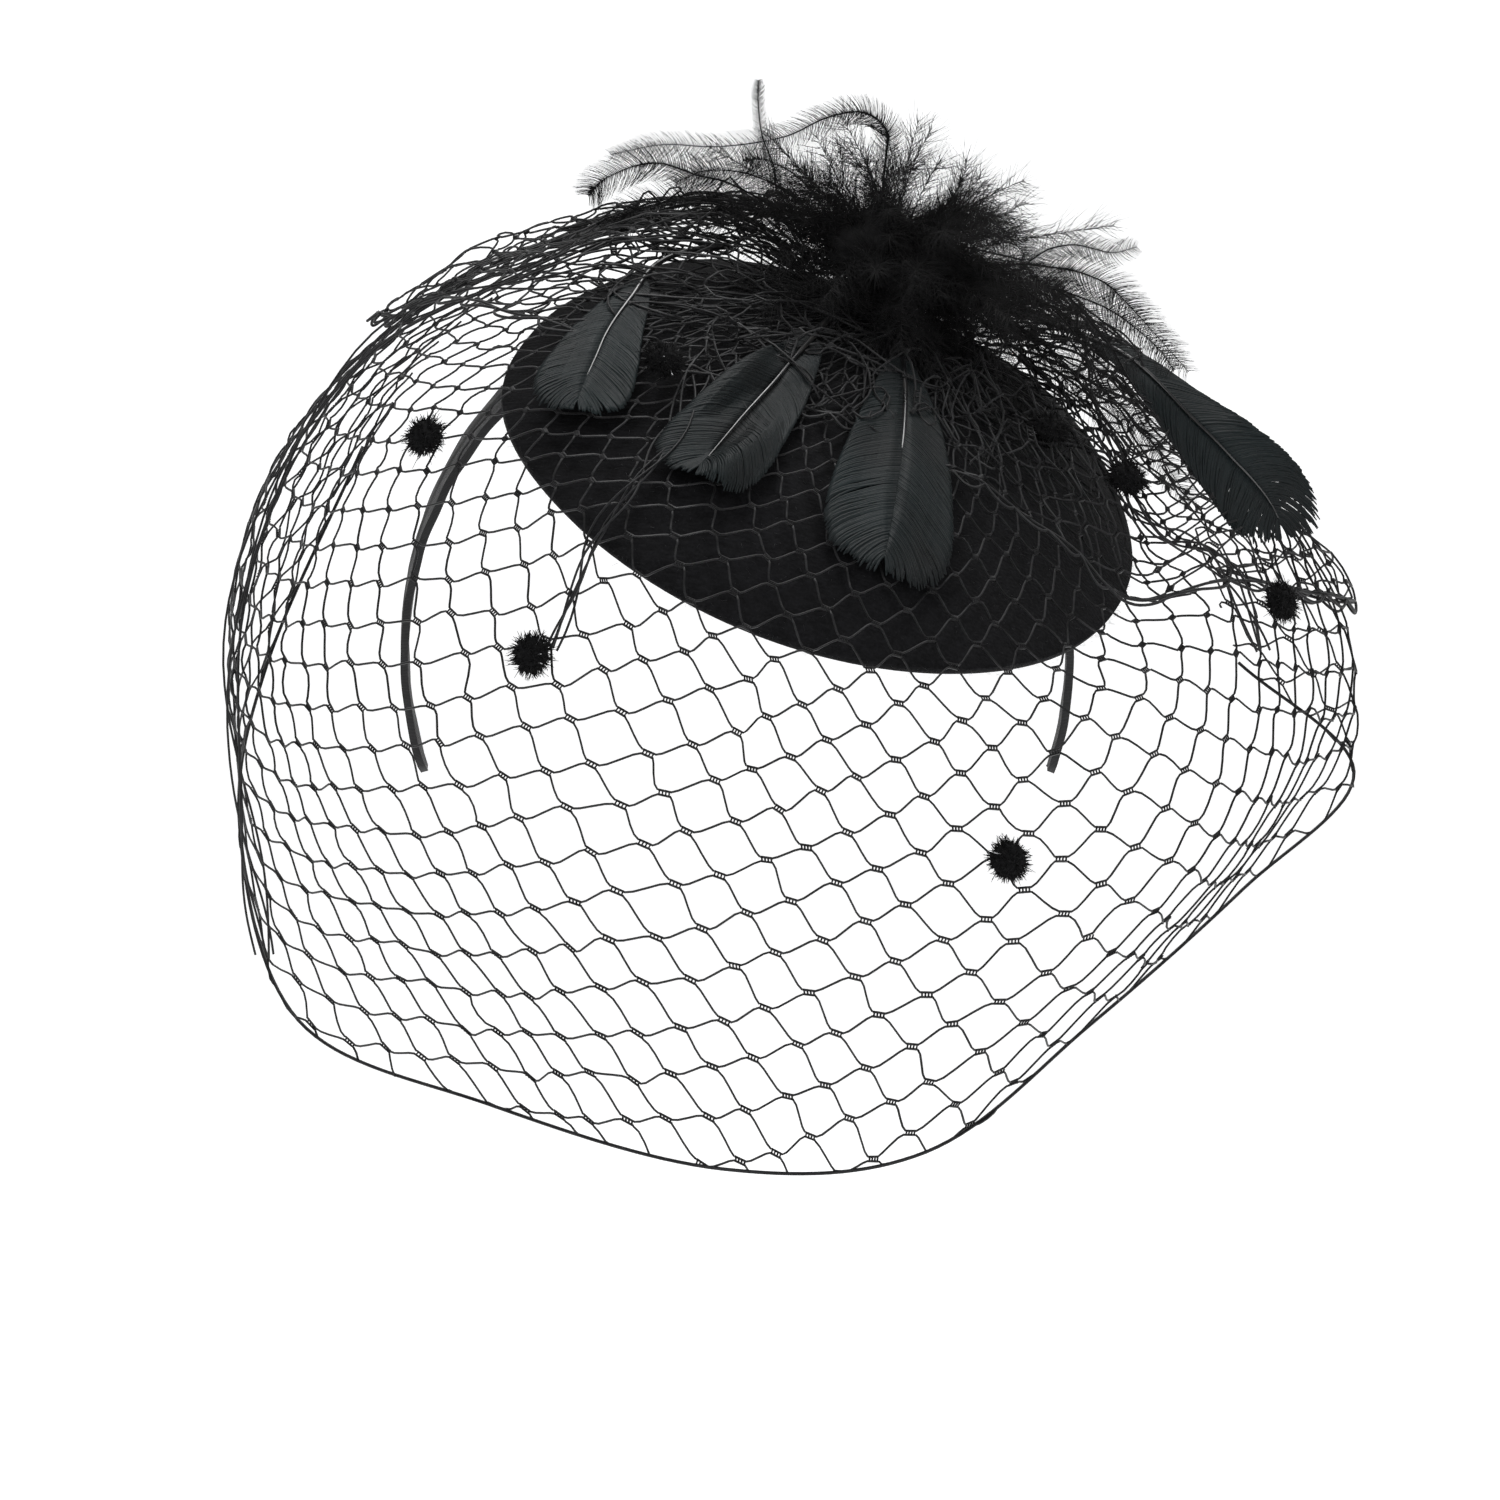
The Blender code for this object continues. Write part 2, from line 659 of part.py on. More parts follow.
# Each frond's places from the plume's foot, as shares of PLUME_REACH sideways,
# PLUME_DEPTH backwards and PLUME_HEIGHT upwards.
FINE_FROND_WIDTH = 0.005
CURLED_FROND_WIDTH = 0.006
LOOPED_FROND_WIDTH = 0.007
FROND_WIDTH = 0.010
THICK_FROND_WIDTH = 0.013
Frond = namedtuple("Frond", "name width places")
FRONDS = [
    Frond(
        "loop",
        LOOPED_FROND_WIDTH,
        ((0.03, 0.0, 0.45), (0.0, -0.1, 0.84), (-0.19, -0.15, 0.79), (-0.83, -0.2, 0.66)),
    ),
    Frond(
        "upright",
        FINE_FROND_WIDTH,
        ((-0.15, 0.05, 0.35), (-0.31, 0.1, 0.63), (-0.37, 0.12, 1.0)),
    ),
    Frond(
        "left",
        FROND_WIDTH,
        ((-0.15, 0.1, 0.40), (-0.55, 0.15, 0.60), (-0.75, 0.15, 0.64), (-0.90, 0.15, 0.52)),
    ),
    Frond(
        "left_low",
        FROND_WIDTH,
        ((-0.15, -0.1, 0.40), (-0.40, -0.1, 0.50), (-0.62, -0.1, 0.50)),
    ),
    Frond(
        "arch",
        FROND_WIDTH,
        ((0.05, 0.1, 0.35), (0.30, 0.2, 0.43), (0.43, 0.2, 0.37), (0.50, 0.2, 0.22)),
    ),
    Frond(
        "curl",
        CURLED_FROND_WIDTH,
        ((0.15, 0.2, 0.25), (0.43, 0.3, 0.20), (0.56, 0.3, 0.30), (0.83, 0.3, 0.30)),
    ),
    Frond(
        "thick",
        THICK_FROND_WIDTH,
        ((0.10, 0.0, 0.28), (0.38, -0.1, 0.20), (0.60, -0.2, 0.10), (0.72, -0.3, 0.00)),
    ),
    Frond(
        "droop",
        FROND_WIDTH,
        ((0.15, 0.0, 0.30), (0.52, 0.0, 0.22), (0.75, -0.3, 0.08), (0.97, -0.5, -0.24)),
    ),
    Frond(
        "long_droop",
        FROND_WIDTH,
        ((0.15, -0.2, 0.24), (0.58, -0.5, 0.10), (0.75, -0.75, -0.20), (0.95, -0.95, -0.76)),
    ),
    Frond(
        "back",
        FROND_WIDTH,
        ((0.0, 0.2, 0.30), (0.05, 0.65, 0.50), (0.0, 1.0, 0.38)),
    ),
    Frond(
        "back_left",
        FROND_WIDTH,
        ((-0.12, 0.2, 0.38), (-0.26, 0.6, 0.68), (-0.42, 0.95, 0.72)),
    ),
    Frond(
        "back_right",
        FROND_WIDTH,
        ((0.10, 0.2, 0.30), (0.30, 0.65, 0.42), (0.45, 0.9, 0.30)),
    ),
]

# Half width of a frond along its length, as a share of its widest.
FrondRow = namedtuple("FrondRow", "along half_width")
FROND_SHAPE = [FrondRow(0.0, 0.7), FrondRow(0.35, 1.0), FrondRow(0.75, 0.8), FrondRow(1.0, 0.15)]


def build_lock(name, width, places, material, cutters):
    """One tapered lock of the plume, through its places, to be joined to the head."""
    shares = [k / (FROND_STATIONS - 1) for k in range(FROND_STATIONS)]
    line = [smooth(places, share) for share in shares]
    flat = np.array([0.0, 1.0, 0.0])
    if abs(unit(line[-1] - line[0]) @ flat) > 0.8:
        flat = np.array([0.0, 0.0, 1.0])
    sections = []
    for k, share in enumerate(shares):
        ahead = unit(line[min(k + 1, len(line) - 1)] - line[max(k - 1, 0)])
        thick = unit(flat - ahead * (flat @ ahead))
        taper = np.interp(
            share,
            [row.along for row in FROND_SHAPE],
            [row.half_width for row in FROND_SHAPE],
        )
        half = width / 2 * float(taper)
        thin = half * FROND_THICKNESS_SHARE
        sections.append(oval(line[k], np.cross(ahead, thick), thick, half, thin, FROND_SIDES))
    return new_object(name, lofted(name, sections), material, cutters)


def build_plume(material, collection, cutters):
    """The plume: a fluffy head on its foot, with tufts and fronds joined on as locks."""
    up = felt_normal(*MOUNT)
    across = unit(HAT_ACROSS - up * (HAT_ACROSS @ up))
    back = np.cross(up, across)
    foot = hat_point(*MOUNT, felt_height(*MOUNT)) + up * SEAT_GAP
    build = bmesh.new()
    bmesh.ops.create_uvsphere(build, u_segments=16, v_segments=10, radius=0.5)
    head = foot + up * PLUME_HEAD_LIFT
    head_size = (PLUME_HEAD_WIDTH, PLUME_HEAD_DEPTH, PLUME_HEAD_HEIGHT)
    for vert in build.verts:
        wide, deep, high = [vert.co[axis] * head_size[axis] for axis in range(3)]
        vert.co = Vector(head + across * wide + back * deep + up * high)
    plume = new_object("plume", finished_mesh("plume", build), material, collection)

    sections = [
        oval(foot + up * height, across, back, PLUME_FOOT_RADIUS, PLUME_FOOT_RADIUS, 12)
        for height in (0.0, PLUME_FOOT_HEIGHT)
    ]
    locks = [new_object("plume_foot", lofted("plume_foot", sections), material, cutters)]
    for number in range(TUFT_COUNT):
        turn = 2 * math.pi * number / TUFT_COUNT
        outwards = across * math.cos(turn) + back * math.sin(turn)
        reach = TUFT_SHORT_REACH if number % 2 else TUFT_LONG_REACH
        backness = (1 + math.sin(turn)) / 2
        height = TUFT_FRONT_HEIGHT + (TUFT_BACK_HEIGHT - TUFT_FRONT_HEIGHT) * backness
        tip = foot + outwards * reach + up * height
        middle = head + outwards * reach * 0.6
        places = np.array([head, middle, tip])
        locks.append(build_lock(f"tuft_{number}", TUFT_WIDTH, places, material, cutters))
    scale = np.array([PLUME_REACH, PLUME_DEPTH, PLUME_HEIGHT])
    for frond in FRONDS:
        places = np.vstack([head, np.array(frond.places) * scale + foot])
        locks.append(
            build_lock(f"frond_{frond.name}", frond.width, places, material, cutters)
        )
    for lock in locks:
        lock.hide_render = True
        lock.display_type = "WIRE"
        union = plume.modifiers.new(lock.name, "BOOLEAN")
        union.operation = "UNION"
        union.object = lock


def main():
    """Clear the scene and build the fascinator."""
    for item in list(bpy.data.objects):
        bpy.data.objects.remove(item, do_unlink=True)
    pieces = bpy.data.collections.new(OBJECT_NAME)
    cutters = bpy.data.collections.new("locks_joined_to_the_plume")
    bpy.context.scene.collection.children.link(pieces)
    bpy.context.scene.collection.children.link(cutters)
    felt = new_material("felt", (0.012, 0.012, 0.014), 0.9)
    cloth = new_material("band_cloth", (0.010, 0.010, 0.011), 0.6)
    netting = new_material("netting", (0.015, 0.015, 0.016), 0.55)
    chenille = new_material("chenille", (0.008, 0.008, 0.009), 0.95)
    quill = new_material("paddle_feather", (0.012, 0.018, 0.020), 0.5)
    herl = new_material("plume_feather", (0.015, 0.015, 0.017), 0.85)
    build_headband(cloth, pieces)
    build_hat(felt, pieces)
    build_veil(netting, pieces)
    build_dots(chenille, pieces)
    build_paddles(quill, pieces)
    build_plume(herl, pieces, cutters)


main()
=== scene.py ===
"""Looks of the feather fascinator headband.

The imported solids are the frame. Each piece here is built round the solid that it stands
for, in metres, +Z up, with the front towards -Y: a brushed felt saucer on a satin-covered
band, knotted netting, chenille dots, trimmed paddle feathers, and a plume of curled fronds
and fluff.
"""

import logging
import math
from dataclasses import dataclass, field
from enum import Enum
from functools import cached_property
from typing import Any, Callable, Sequence

import bpy
import numpy as np
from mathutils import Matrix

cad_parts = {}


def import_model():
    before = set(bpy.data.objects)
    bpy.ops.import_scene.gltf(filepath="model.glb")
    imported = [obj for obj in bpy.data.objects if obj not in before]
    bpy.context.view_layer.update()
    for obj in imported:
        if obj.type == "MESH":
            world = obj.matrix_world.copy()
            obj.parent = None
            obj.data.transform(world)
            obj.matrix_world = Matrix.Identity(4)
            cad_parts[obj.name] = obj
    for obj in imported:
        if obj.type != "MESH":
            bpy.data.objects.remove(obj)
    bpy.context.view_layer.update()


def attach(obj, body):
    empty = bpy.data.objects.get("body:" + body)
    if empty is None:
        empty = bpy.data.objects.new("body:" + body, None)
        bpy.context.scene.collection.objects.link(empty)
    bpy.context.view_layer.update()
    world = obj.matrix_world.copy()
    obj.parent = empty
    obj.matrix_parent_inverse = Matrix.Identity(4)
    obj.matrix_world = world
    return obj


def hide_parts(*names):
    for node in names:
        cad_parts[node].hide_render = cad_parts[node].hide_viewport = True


LOG = logging.getLogger("fascinator")
BODY = "root"
SEED = 41

Array = np.ndarray


class Slot(Enum):
    """The record's material slots."""

    BAND = "band_cloth"
    FELT = "felt"
    NET = "netting"
    CHENILLE = "chenille"
    PADDLE = "paddle_feather"
    PLUME = "plume_feather"


def unit(vectors: Array) -> Array:
    """The vectors at length one."""
    return vectors / np.maximum(np.linalg.norm(vectors, axis=-1, keepdims=True), 1e-12)


def smooth(rows: Sequence, share: Any) -> Array:
    """Read a Catmull-Rom curve through rows.

    Args:
        rows: The curve's rows, each a number or a vector.
        share: One place or an array of places along the curve, from 0 to 1.

    Returns:
        The curve's value at each place.
    """
    table = np.asarray(rows, float)
    last = len(table) - 1
    place = np.clip(np.asarray(share, float), 0.0, 1.0) * last
    index = np.minimum(place.astype(int), last - 1)
    t = (place - index).reshape(place.shape + (1,) * (table.ndim - 1))
    ends = (2 * table[:1] - table[1:2], table, 2 * table[-1:] - table[-2:-1])
    padded = np.concatenate(ends)
    before, start, end, after = (padded[index + step] for step in range(4))
    return 0.5 * (
        2 * start
        + (end - before) * t
        + (2 * before - 5 * start + 4 * end - after) * t**2
        + (3 * start - before - 3 * end + after) * t**3
    )


def ripple(points: Array, length: float, seed: int) -> Array:
    """Smooth noise from a few crossing waves.

    Args:
        points: Places, the last axis being their coordinates.
        length: The waves' mean length.
        seed: Which noise to give.

    Returns:
        A value from about -1 to 1 for each place.
    """
    rng = np.random.default_rng(seed)
    total = np.zeros(points.shape[:-1])
    for _ in range(6):
        heading = unit(rng.normal(size=points.shape[-1]))
        pitch = length * rng.uniform(0.6, 1.6)
        total += np.sin(2 * math.pi * (points @ heading) / pitch + rng.uniform(0, 2 * math.pi))
    return total / 3.0


# Shader building


class Term:
    """A shader output that Python's arithmetic works on."""

    def __init__(self, finish: "Finish", socket: bpy.types.NodeSocket) -> None:
        """Keep the finish that owns the nodes, and the output."""
        self.finish = finish
        self.socket = socket

    def _math(self, operation: str, first: Any, second: Any) -> "Term":
        """One Math node on two values."""
        return self.finish.node("ShaderNodeMath", {"operation": operation}, {0: first, 1: second})

    def __add__(self, other: Any) -> "Term":
        """This plus other."""
        return self._math("ADD", self, other)

    __radd__ = __add__

    def __mul__(self, other: Any) -> "Term":
        """This times other."""
        return self._math("MULTIPLY", self, other)

    __rmul__ = __mul__

    def __sub__(self, other: Any) -> "Term":
        """This minus other."""
        return self._math("SUBTRACT", self, other)

    def __rsub__(self, other: Any) -> "Term":
        """Other minus this."""
        return self._math("SUBTRACT", other, self)


class Finish:
    """A Principled material and the one way to add nodes to it."""

    def __init__(self, name: str, **constants: Any) -> None:
        """Make the material.

        Args:
            name: The material's name.
            constants: Values for the shader's own sockets, with _ for a space.
        """
        self.material = bpy.data.materials.new(name)
        self.material.use_nodes = True
        self.tree = self.material.node_tree
        self.shader = self.tree.nodes["Principled BSDF"]
        for socket, value in constants.items():
            self.shader.inputs[socket.replace("_", " ")].default_value = value

    def node(self, kind: str, settings: dict, inputs: dict, output: Any = 0) -> Term:
        """Add one node.

        Args:
            kind: The node's type.
            settings: Its own settings, and a ramp's stops under "stops".
            inputs: Values or terms for its sockets, by name or number.
            output: The output to give back.

        Returns:
            The output as a term.
        """
        node = self.tree.nodes.new(kind)
        for name, value in settings.items():
            if name == "stops":
                self._set_stops(node.color_ramp, value)
            else:
                setattr(node, name, value)
        for name, value in inputs.items():
            if isinstance(value, Term):
                self.tree.links.new(value.socket, node.inputs[name])
            else:
                node.inputs[name].default_value = value
        return Term(self, node.outputs[output])

    @staticmethod
    def _set_stops(ramp: bpy.types.ColorRamp, stops: Sequence) -> None:
        """Put (place, grey or colour) stops on a ramp."""
        while len(ramp.elements) < len(stops):
            ramp.elements.new(0.5)
        for element, (place, colour) in zip(ramp.elements, stops):
            shade = colour if isinstance(colour, tuple) else (colour,) * 3
            element.position = place
            element.color = (*shade, 1.0)

    def noise(self, scale: float, detail: float = 3.0, stretch: Sequence = (1, 1, 1)) -> Term:
        """Noise over the object's own coordinates, stretched along its axes."""
        coordinates = self.node("ShaderNodeTexCoord", {}, {}, "Object")
        mapped = self.node("ShaderNodeMapping", {}, {"Vector": coordinates, "Scale": stretch})
        return self.node(
            "ShaderNodeTexNoise", {}, {"Vector": mapped, "Scale": scale, "Detail": detail}
        )

    def across(self, axis: str) -> Term:
        """One coordinate of the piece's own UV map."""
        place = self.node("ShaderNodeUVMap", {"uv_map": "UVMap"}, {})
        return self.node("ShaderNodeSeparateXYZ", {}, {"Vector": place}, axis)

    def ramp(self, factor: Term, *stops: tuple) -> Term:
        """A colour ramp read at a factor."""
        return self.node("ShaderNodeValToRGB", {"stops": stops}, {"Fac": factor})

    def feed(self, socket: str, term: Term) -> None:
        """Link a term to one of the shader's sockets."""
        self.tree.links.new(term.socket, self.shader.inputs[socket])

    def bump(self, height: Term, depth: float, strength: float = 1.0) -> None:
        """Raise the surface by a height, with depth in metres."""
        bumped = self.node(
            "ShaderNodeBump", {}, {"Height": height, "Distance": depth, "Strength": strength}
        )
        self.feed("Normal", bumped)


@dataclass(frozen=True)
class FeltFinish:
    """Brushed black wool felt."""

    shade: tuple = (0.0022, 0.0022, 0.0026)
    lint_and_glints: tuple = (0.0095, 0.0095, 0.0108)
    sheen: float = 0.035

    def material(self) -> bpy.types.Material:
        """Build the felt: cloudy wool, fine crossing fibres and a soft sheen."""
        finish = Finish(
            "felt",
            Sheen_Weight=self.sheen,
            Sheen_Roughness=0.45,
            Specular_IOR_Level=0.08,
        )
        fibres = finish.noise(1500, 6, (1.0, 0.35, 1.0)) * 0.5 + finish.noise(1100, 5, (0.3, 1, 1)) * 0.5
        cloud = finish.noise(55, 4)
        wool = fibres * 0.75 + cloud * 0.25
        finish.feed("Base Color", finish.ramp(wool, (0.42, self.shade), (0.72, self.lint_and_glints)))
        finish.feed("Roughness", 0.78 + 0.2 * cloud)
        finish.bump(fibres + 0.6 * cloud, 0.0005, 0.9)
        return finish.material


@dataclass(frozen=True)
class BandFinish:
    """Satin-woven black cloth, wrapped along the band."""

    shade: tuple = (0.0040, 0.0040, 0.0045)
    glint: tuple = (0.0150, 0.0150, 0.0165)
    threads_along: float = 900.0
    threads_across: float = 42.0

    def material(self) -> bpy.types.Material:
        """Build the satin: floating threads along the band and a fine rib across it."""
        finish = Finish("band_cloth", Sheen_Weight=0.05, Specular_IOR_Level=0.25)
        along, across = finish.across("X"), finish.across("Y")
        rib = finish.node(
            "ShaderNodeMath", {"operation": "SINE"}, {0: along * (self.threads_along * math.tau)}
        )
        weft = finish.node(
            "ShaderNodeMath", {"operation": "SINE"}, {0: across * (self.threads_across * math.tau)}
        )
        weave = 0.5 + 0.25 * rib + 0.25 * weft
        slub = finish.noise(420, 4, (1.0, 0.4, 1.0))
        mix = weave * 0.4 + slub * 0.6
        finish.feed("Base Color", finish.ramp(mix, (0.35, self.shade), (0.75, self.glint)))
        finish.feed("Roughness", 0.42 + 0.25 * slub)
        finish.bump(weave * 0.5 + slub, 0.00035, 0.8)
        return finish.material


@dataclass(frozen=True)
class ThreadFinish:
    """Stiff twisted thread, for netting and for sewn stitches."""

    name: str = "netting"
    shade: tuple = (0.0035, 0.0035, 0.0040)
    glint: tuple = (0.0160, 0.0160, 0.0175)
    grain: float = 2600.0

    def material(self) -> bpy.types.Material:
        """Build the thread: fine fibres, some of them paler."""
        finish = Finish(self.name, Sheen_Weight=0.04, Specular_IOR_Level=0.22)
        fibre = finish.noise(self.grain, 3)
        cloud = finish.noise(160, 2)
        finish.feed("Base Color", finish.ramp(fibre * cloud * 2, (0.4, self.shade), (0.8, self.glint)))
        finish.feed("Roughness", 0.38 + 0.2 * cloud)
        finish.bump(fibre, 0.00008, 0.5)
        return finish.material


@dataclass(frozen=True)
class PileFinish:
    """Cut chenille pile, deep black, or the pale metallic specks in it that paint its glints."""

    name: str = "chenille"
    shade: tuple = (0.0020, 0.0020, 0.0022)
    painted_light: tuple = (0.0075, 0.0075, 0.0080)
    metallic: float = 0.0
    roughness: float = 0.9

    def material(self) -> bpy.types.Material:
        """Build the pile, with paler patches of painted sheen."""
        finish = Finish(
            self.name, Sheen_Weight=0.03, Metallic=self.metallic, Specular_IOR_Level=0.08
        )
        patch = finish.noise(900, 4)
        # The paler patches are painted sheen on the pile, and painted glint on the metallic specks.
        finish.feed("Base Color", finish.ramp(patch, (0.4, self.shade), (0.75, self.painted_light)))
        finish.feed("Roughness", self.roughness - 0.15 * patch)
        finish.bump(patch, 0.0002, 0.6)
        return finish.material


@dataclass(frozen=True)
class VaneFinish:
    """Dyed feather vane: black, with a cold green-blue iridescent sheen painted into its colour."""

    shade: tuple = (0.0026, 0.0036, 0.0040)
    painted_iridescence: tuple = (0.0050, 0.0100, 0.0110)

    def material(self) -> bpy.types.Material:
        """Build the vane: broad streaks of painted iridescent sheen, a fine grain and a silky gloss."""
        finish = Finish(
            "paddle_vane", Sheen_Weight=0.03, Sheen_Roughness=0.3, Specular_IOR_Level=0.2
        )
        streak = finish.noise(38, 4, (1.0, 1.0, 0.6))
        fine = finish.noise(900, 3)
        mix = streak * 0.85 + fine * 0.15
        # The green-blue streaks in the colour are painted iridescent sheen.
        finish.feed("Base Color", finish.ramp(mix, (0.36, self.shade), (0.68, self.painted_iridescence)))
        finish.feed("Roughness", 0.46 + 0.2 * fine)
        finish.bump(fine, 0.0001, 0.4)
        return finish.material


@dataclass(frozen=True)
class QuillFinish:
    """Stripped quill: dark horn, glossy, with pale streaks of painted highlight along it."""

    shade: tuple = (0.005, 0.005, 0.0055)
    painted_highlight: tuple = (0.034, 0.032, 0.030)

    def material(self) -> bpy.types.Material:
        """Build the quill, with painted highlight streaks along it."""
        finish = Finish("quill", Specular_IOR_Level=0.7, Coat_Roughness=0.15)
        streak = finish.noise(120, 3)
        # The pale streaks in the colour are painted highlights on the quill.
        finish.feed("Base Color", finish.ramp(streak, (0.5, self.shade), (0.8, self.painted_highlight)))
        finish.feed("Roughness", 0.2 + 0.2 * streak)
        finish.feed("Coat Weight", 0.3 + 0.3 * streak)
        finish.bump(streak, 0.0001, 0.3)
        return finish.material


@dataclass(frozen=True)
class DownFinish:
    """Soft dyed down and herl: black, with greyer patches of painted light through its thin barbs."""

    shade: tuple = (0.0030, 0.0030, 0.0033)
    painted_light: tuple = (0.0150, 0.0150, 0.0155)

    def material(self) -> bpy.types.Material:
        """Build the down: no gloss, a faint sheen and greyer patches of painted light."""
        finish = Finish("plume_down", Sheen_Weight=0.03, Specular_IOR_Level=0.1)
        painted_light_patches = finish.noise(130, 4)
        # The greyer patches in the colour are painted light, the soft grey of light through thin barbs.
        finish.feed("Base Color", finish.ramp(painted_light_patches, (0.38, self.shade), (0.75, self.painted_light)))
        finish.feed("Roughness", 0.62 + 0.2 * painted_light_patches)
        finish.bump(painted_light_patches, 0.0001, 0.3)
        return finish.material


@dataclass(frozen=True)
class PaperFinish:
    """The pale studio sweep."""

    shade: tuple = (0.86, 0.865, 0.87)

    def material(self) -> bpy.types.Material:
        """Build the plain pale surface."""
        finish = Finish(
            "studio_paper",
            Specular_IOR_Level=0.0,
            Emission_Color=(1.0, 1.0, 1.0, 1.0),
            Emission_Strength=0.55,
        )
        shade = finish.noise(3, 2)
        finish.feed("Base Color", finish.ramp(shade, (0.0, self.shade), (1.0, (0.88, 0.885, 0.89))))
        finish.feed("Roughness", 0.85 + 0.1 * shade)
        finish.bump(shade, 0.0002, 0.1)
        return finish.material


# Meshes


def deselect_all() -> None:
    """Leave nothing selected, so that an operator touches only what is added next."""
    for item in bpy.context.selected_objects:
        item.select_set(False)
    bpy.context.view_layer.objects.active = None


def coordinates(mesh: bpy.types.Mesh) -> Array:
    """The mesh's vertices as an array."""
    flat = np.empty(len(mesh.vertices) * 3)
    mesh.vertices.foreach_get("co", flat)
    return flat.reshape(-1, 3)


def reshape(mesh: bpy.types.Mesh, places: Array) -> None:
    """Move the mesh's vertices to new places."""
    mesh.vertices.foreach_set("co", np.asarray(places, np.float32).ravel())
    mesh.update()


def finish_piece(piece: bpy.types.Object, slot: Slot, *nodes: str) -> bpy.types.Object:
    """Seat a piece in the frame.

    Args:
        piece: The finished piece.
        slot: The piece's material slot; not used.
        nodes: The solids that it stands for.

    Returns:
        The piece.
    """
    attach(piece, BODY)
    if nodes:
        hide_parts(*nodes)
    LOG.info("%s: %d faces", piece.name, len(piece.data.polygons))
    return piece


def apply_modifiers(piece: bpy.types.Object) -> None:
    """Apply all of a piece's modifiers."""
    deselect_all()
    piece.select_set(True)
    bpy.context.view_layer.objects.active = piece
    for modifier in list(piece.modifiers):
        bpy.ops.object.modifier_apply(modifier=modifier.name)


def outward(piece: bpy.types.Object) -> None:
    """Turn all faces of a closed piece outwards."""
    deselect_all()
    piece.select_set(True)
    bpy.context.view_layer.objects.active = piece
    bpy.ops.object.mode_set(mode="EDIT")
    bpy.ops.mesh.select_all(action="SELECT")
    bpy.ops.mesh.normals_make_consistent(inside=False)
    bpy.ops.object.mode_set(mode="OBJECT")


class Strands:
    """Many fine closed tubes gathered into one mesh."""

    def __init__(self) -> None:
        """Start with no tubes."""
        self.points: list[Array] = []
        self.quads: list[Array] = []
        self.caps: list[Array] = []
        self.count = 0

    def add(self, lines: Array, radius: Any, sides: int = 3) -> None:
        """Add one tube along each line.

        Args:
            lines: Points of shape (tubes, stations, 3).
            radius: One radius, or radii that fit (tubes, stations).
            sides: Sides of each tube.
        """
        if not len(lines):
            return
        tubes, stations = lines.shape[:2]
        ahead = unit(np.gradient(lines, axis=1))
        mean = unit(ahead.mean(axis=1))
        axes = np.eye(3)[np.argmin(np.abs(mean), axis=1)]
        wide = unit(np.cross(ahead, axes[:, None, :]))
        thick = np.cross(wide, ahead)
        self._rings(lines, wide, thick, np.broadcast_to(radius, (tubes, stations)), sides)

    def ribbons(self, lines: Array, across: Array, width: Any, thick: float) -> None:
        """Add a flat strip along each line, its width lying along a given direction.

        Args:
            lines: Points of shape (strips, stations, 3).
            across: Directions of the strips' width, which fit lines.
            width: Half width, or half widths that fit (strips, stations).
            thick: Half thickness.
        """
        ahead = unit(np.gradient(lines, axis=1))
        wide = unit(across - ahead * (across * ahead).sum(-1, keepdims=True))
        half = np.broadcast_to(width, lines.shape[:2])
        up = np.cross(wide, ahead) * (thick / np.maximum(half, 1e-6))[..., None]
        self._rings(lines, wide, up, half, 4)

    def _rings(self, lines: Array, wide: Array, thick: Array, radius: Array, sides: int) -> None:
        """Rings of points round each line, with faces between them and caps."""
        tubes, stations = lines.shape[:2]
        turn = np.arange(sides) * 2 * math.pi / sides
        ring = (
            np.cos(turn)[:, None] * wide[:, :, None, :]
            + np.sin(turn)[:, None] * thick[:, :, None, :]
        )
        points = lines[:, :, None, :] + ring * radius[:, :, None, None]
        first = self.count + np.arange(tubes)[:, None, None] * (stations * sides)
        station = np.arange(stations - 1)[None, :, None] * sides
        side = np.arange(sides)[None, None, :]
        after = (side + 1) % sides
        near, far = first + station, first + station + sides
        quads = np.stack([near + side, near + after, far + after, far + side], axis=-1)
        start = first[:, 0, 0, None] + np.arange(sides)[None, ::-1]
        end = first[:, 0, 0, None] + (stations - 1) * sides + np.arange(sides)[None, :]
        self.points.append(points.reshape(-1, 3))
        self.quads.append(quads.reshape(-1, 4))
        self.caps.append(np.concatenate([start, end]))
        self.count += tubes * stations * sides

    def piece(self, name: str, material: bpy.types.Material) -> bpy.types.Object:
        """Make the gathered tubes one smooth-shaded object."""
        faces = [face for quads in self.quads for face in quads.tolist()]
        faces += [face for caps in self.caps for face in caps.tolist()]
        mesh = bpy.data.meshes.new(name)
        mesh.from_pydata(np.concatenate(self.points).tolist(), [], faces)
        mesh.materials.append(material)
        mesh.shade_smooth()
        item = bpy.data.objects.new(name, mesh)
        bpy.context.scene.collection.objects.link(item)
        return item


# The frame's own shapes, with the same sizes as the solids


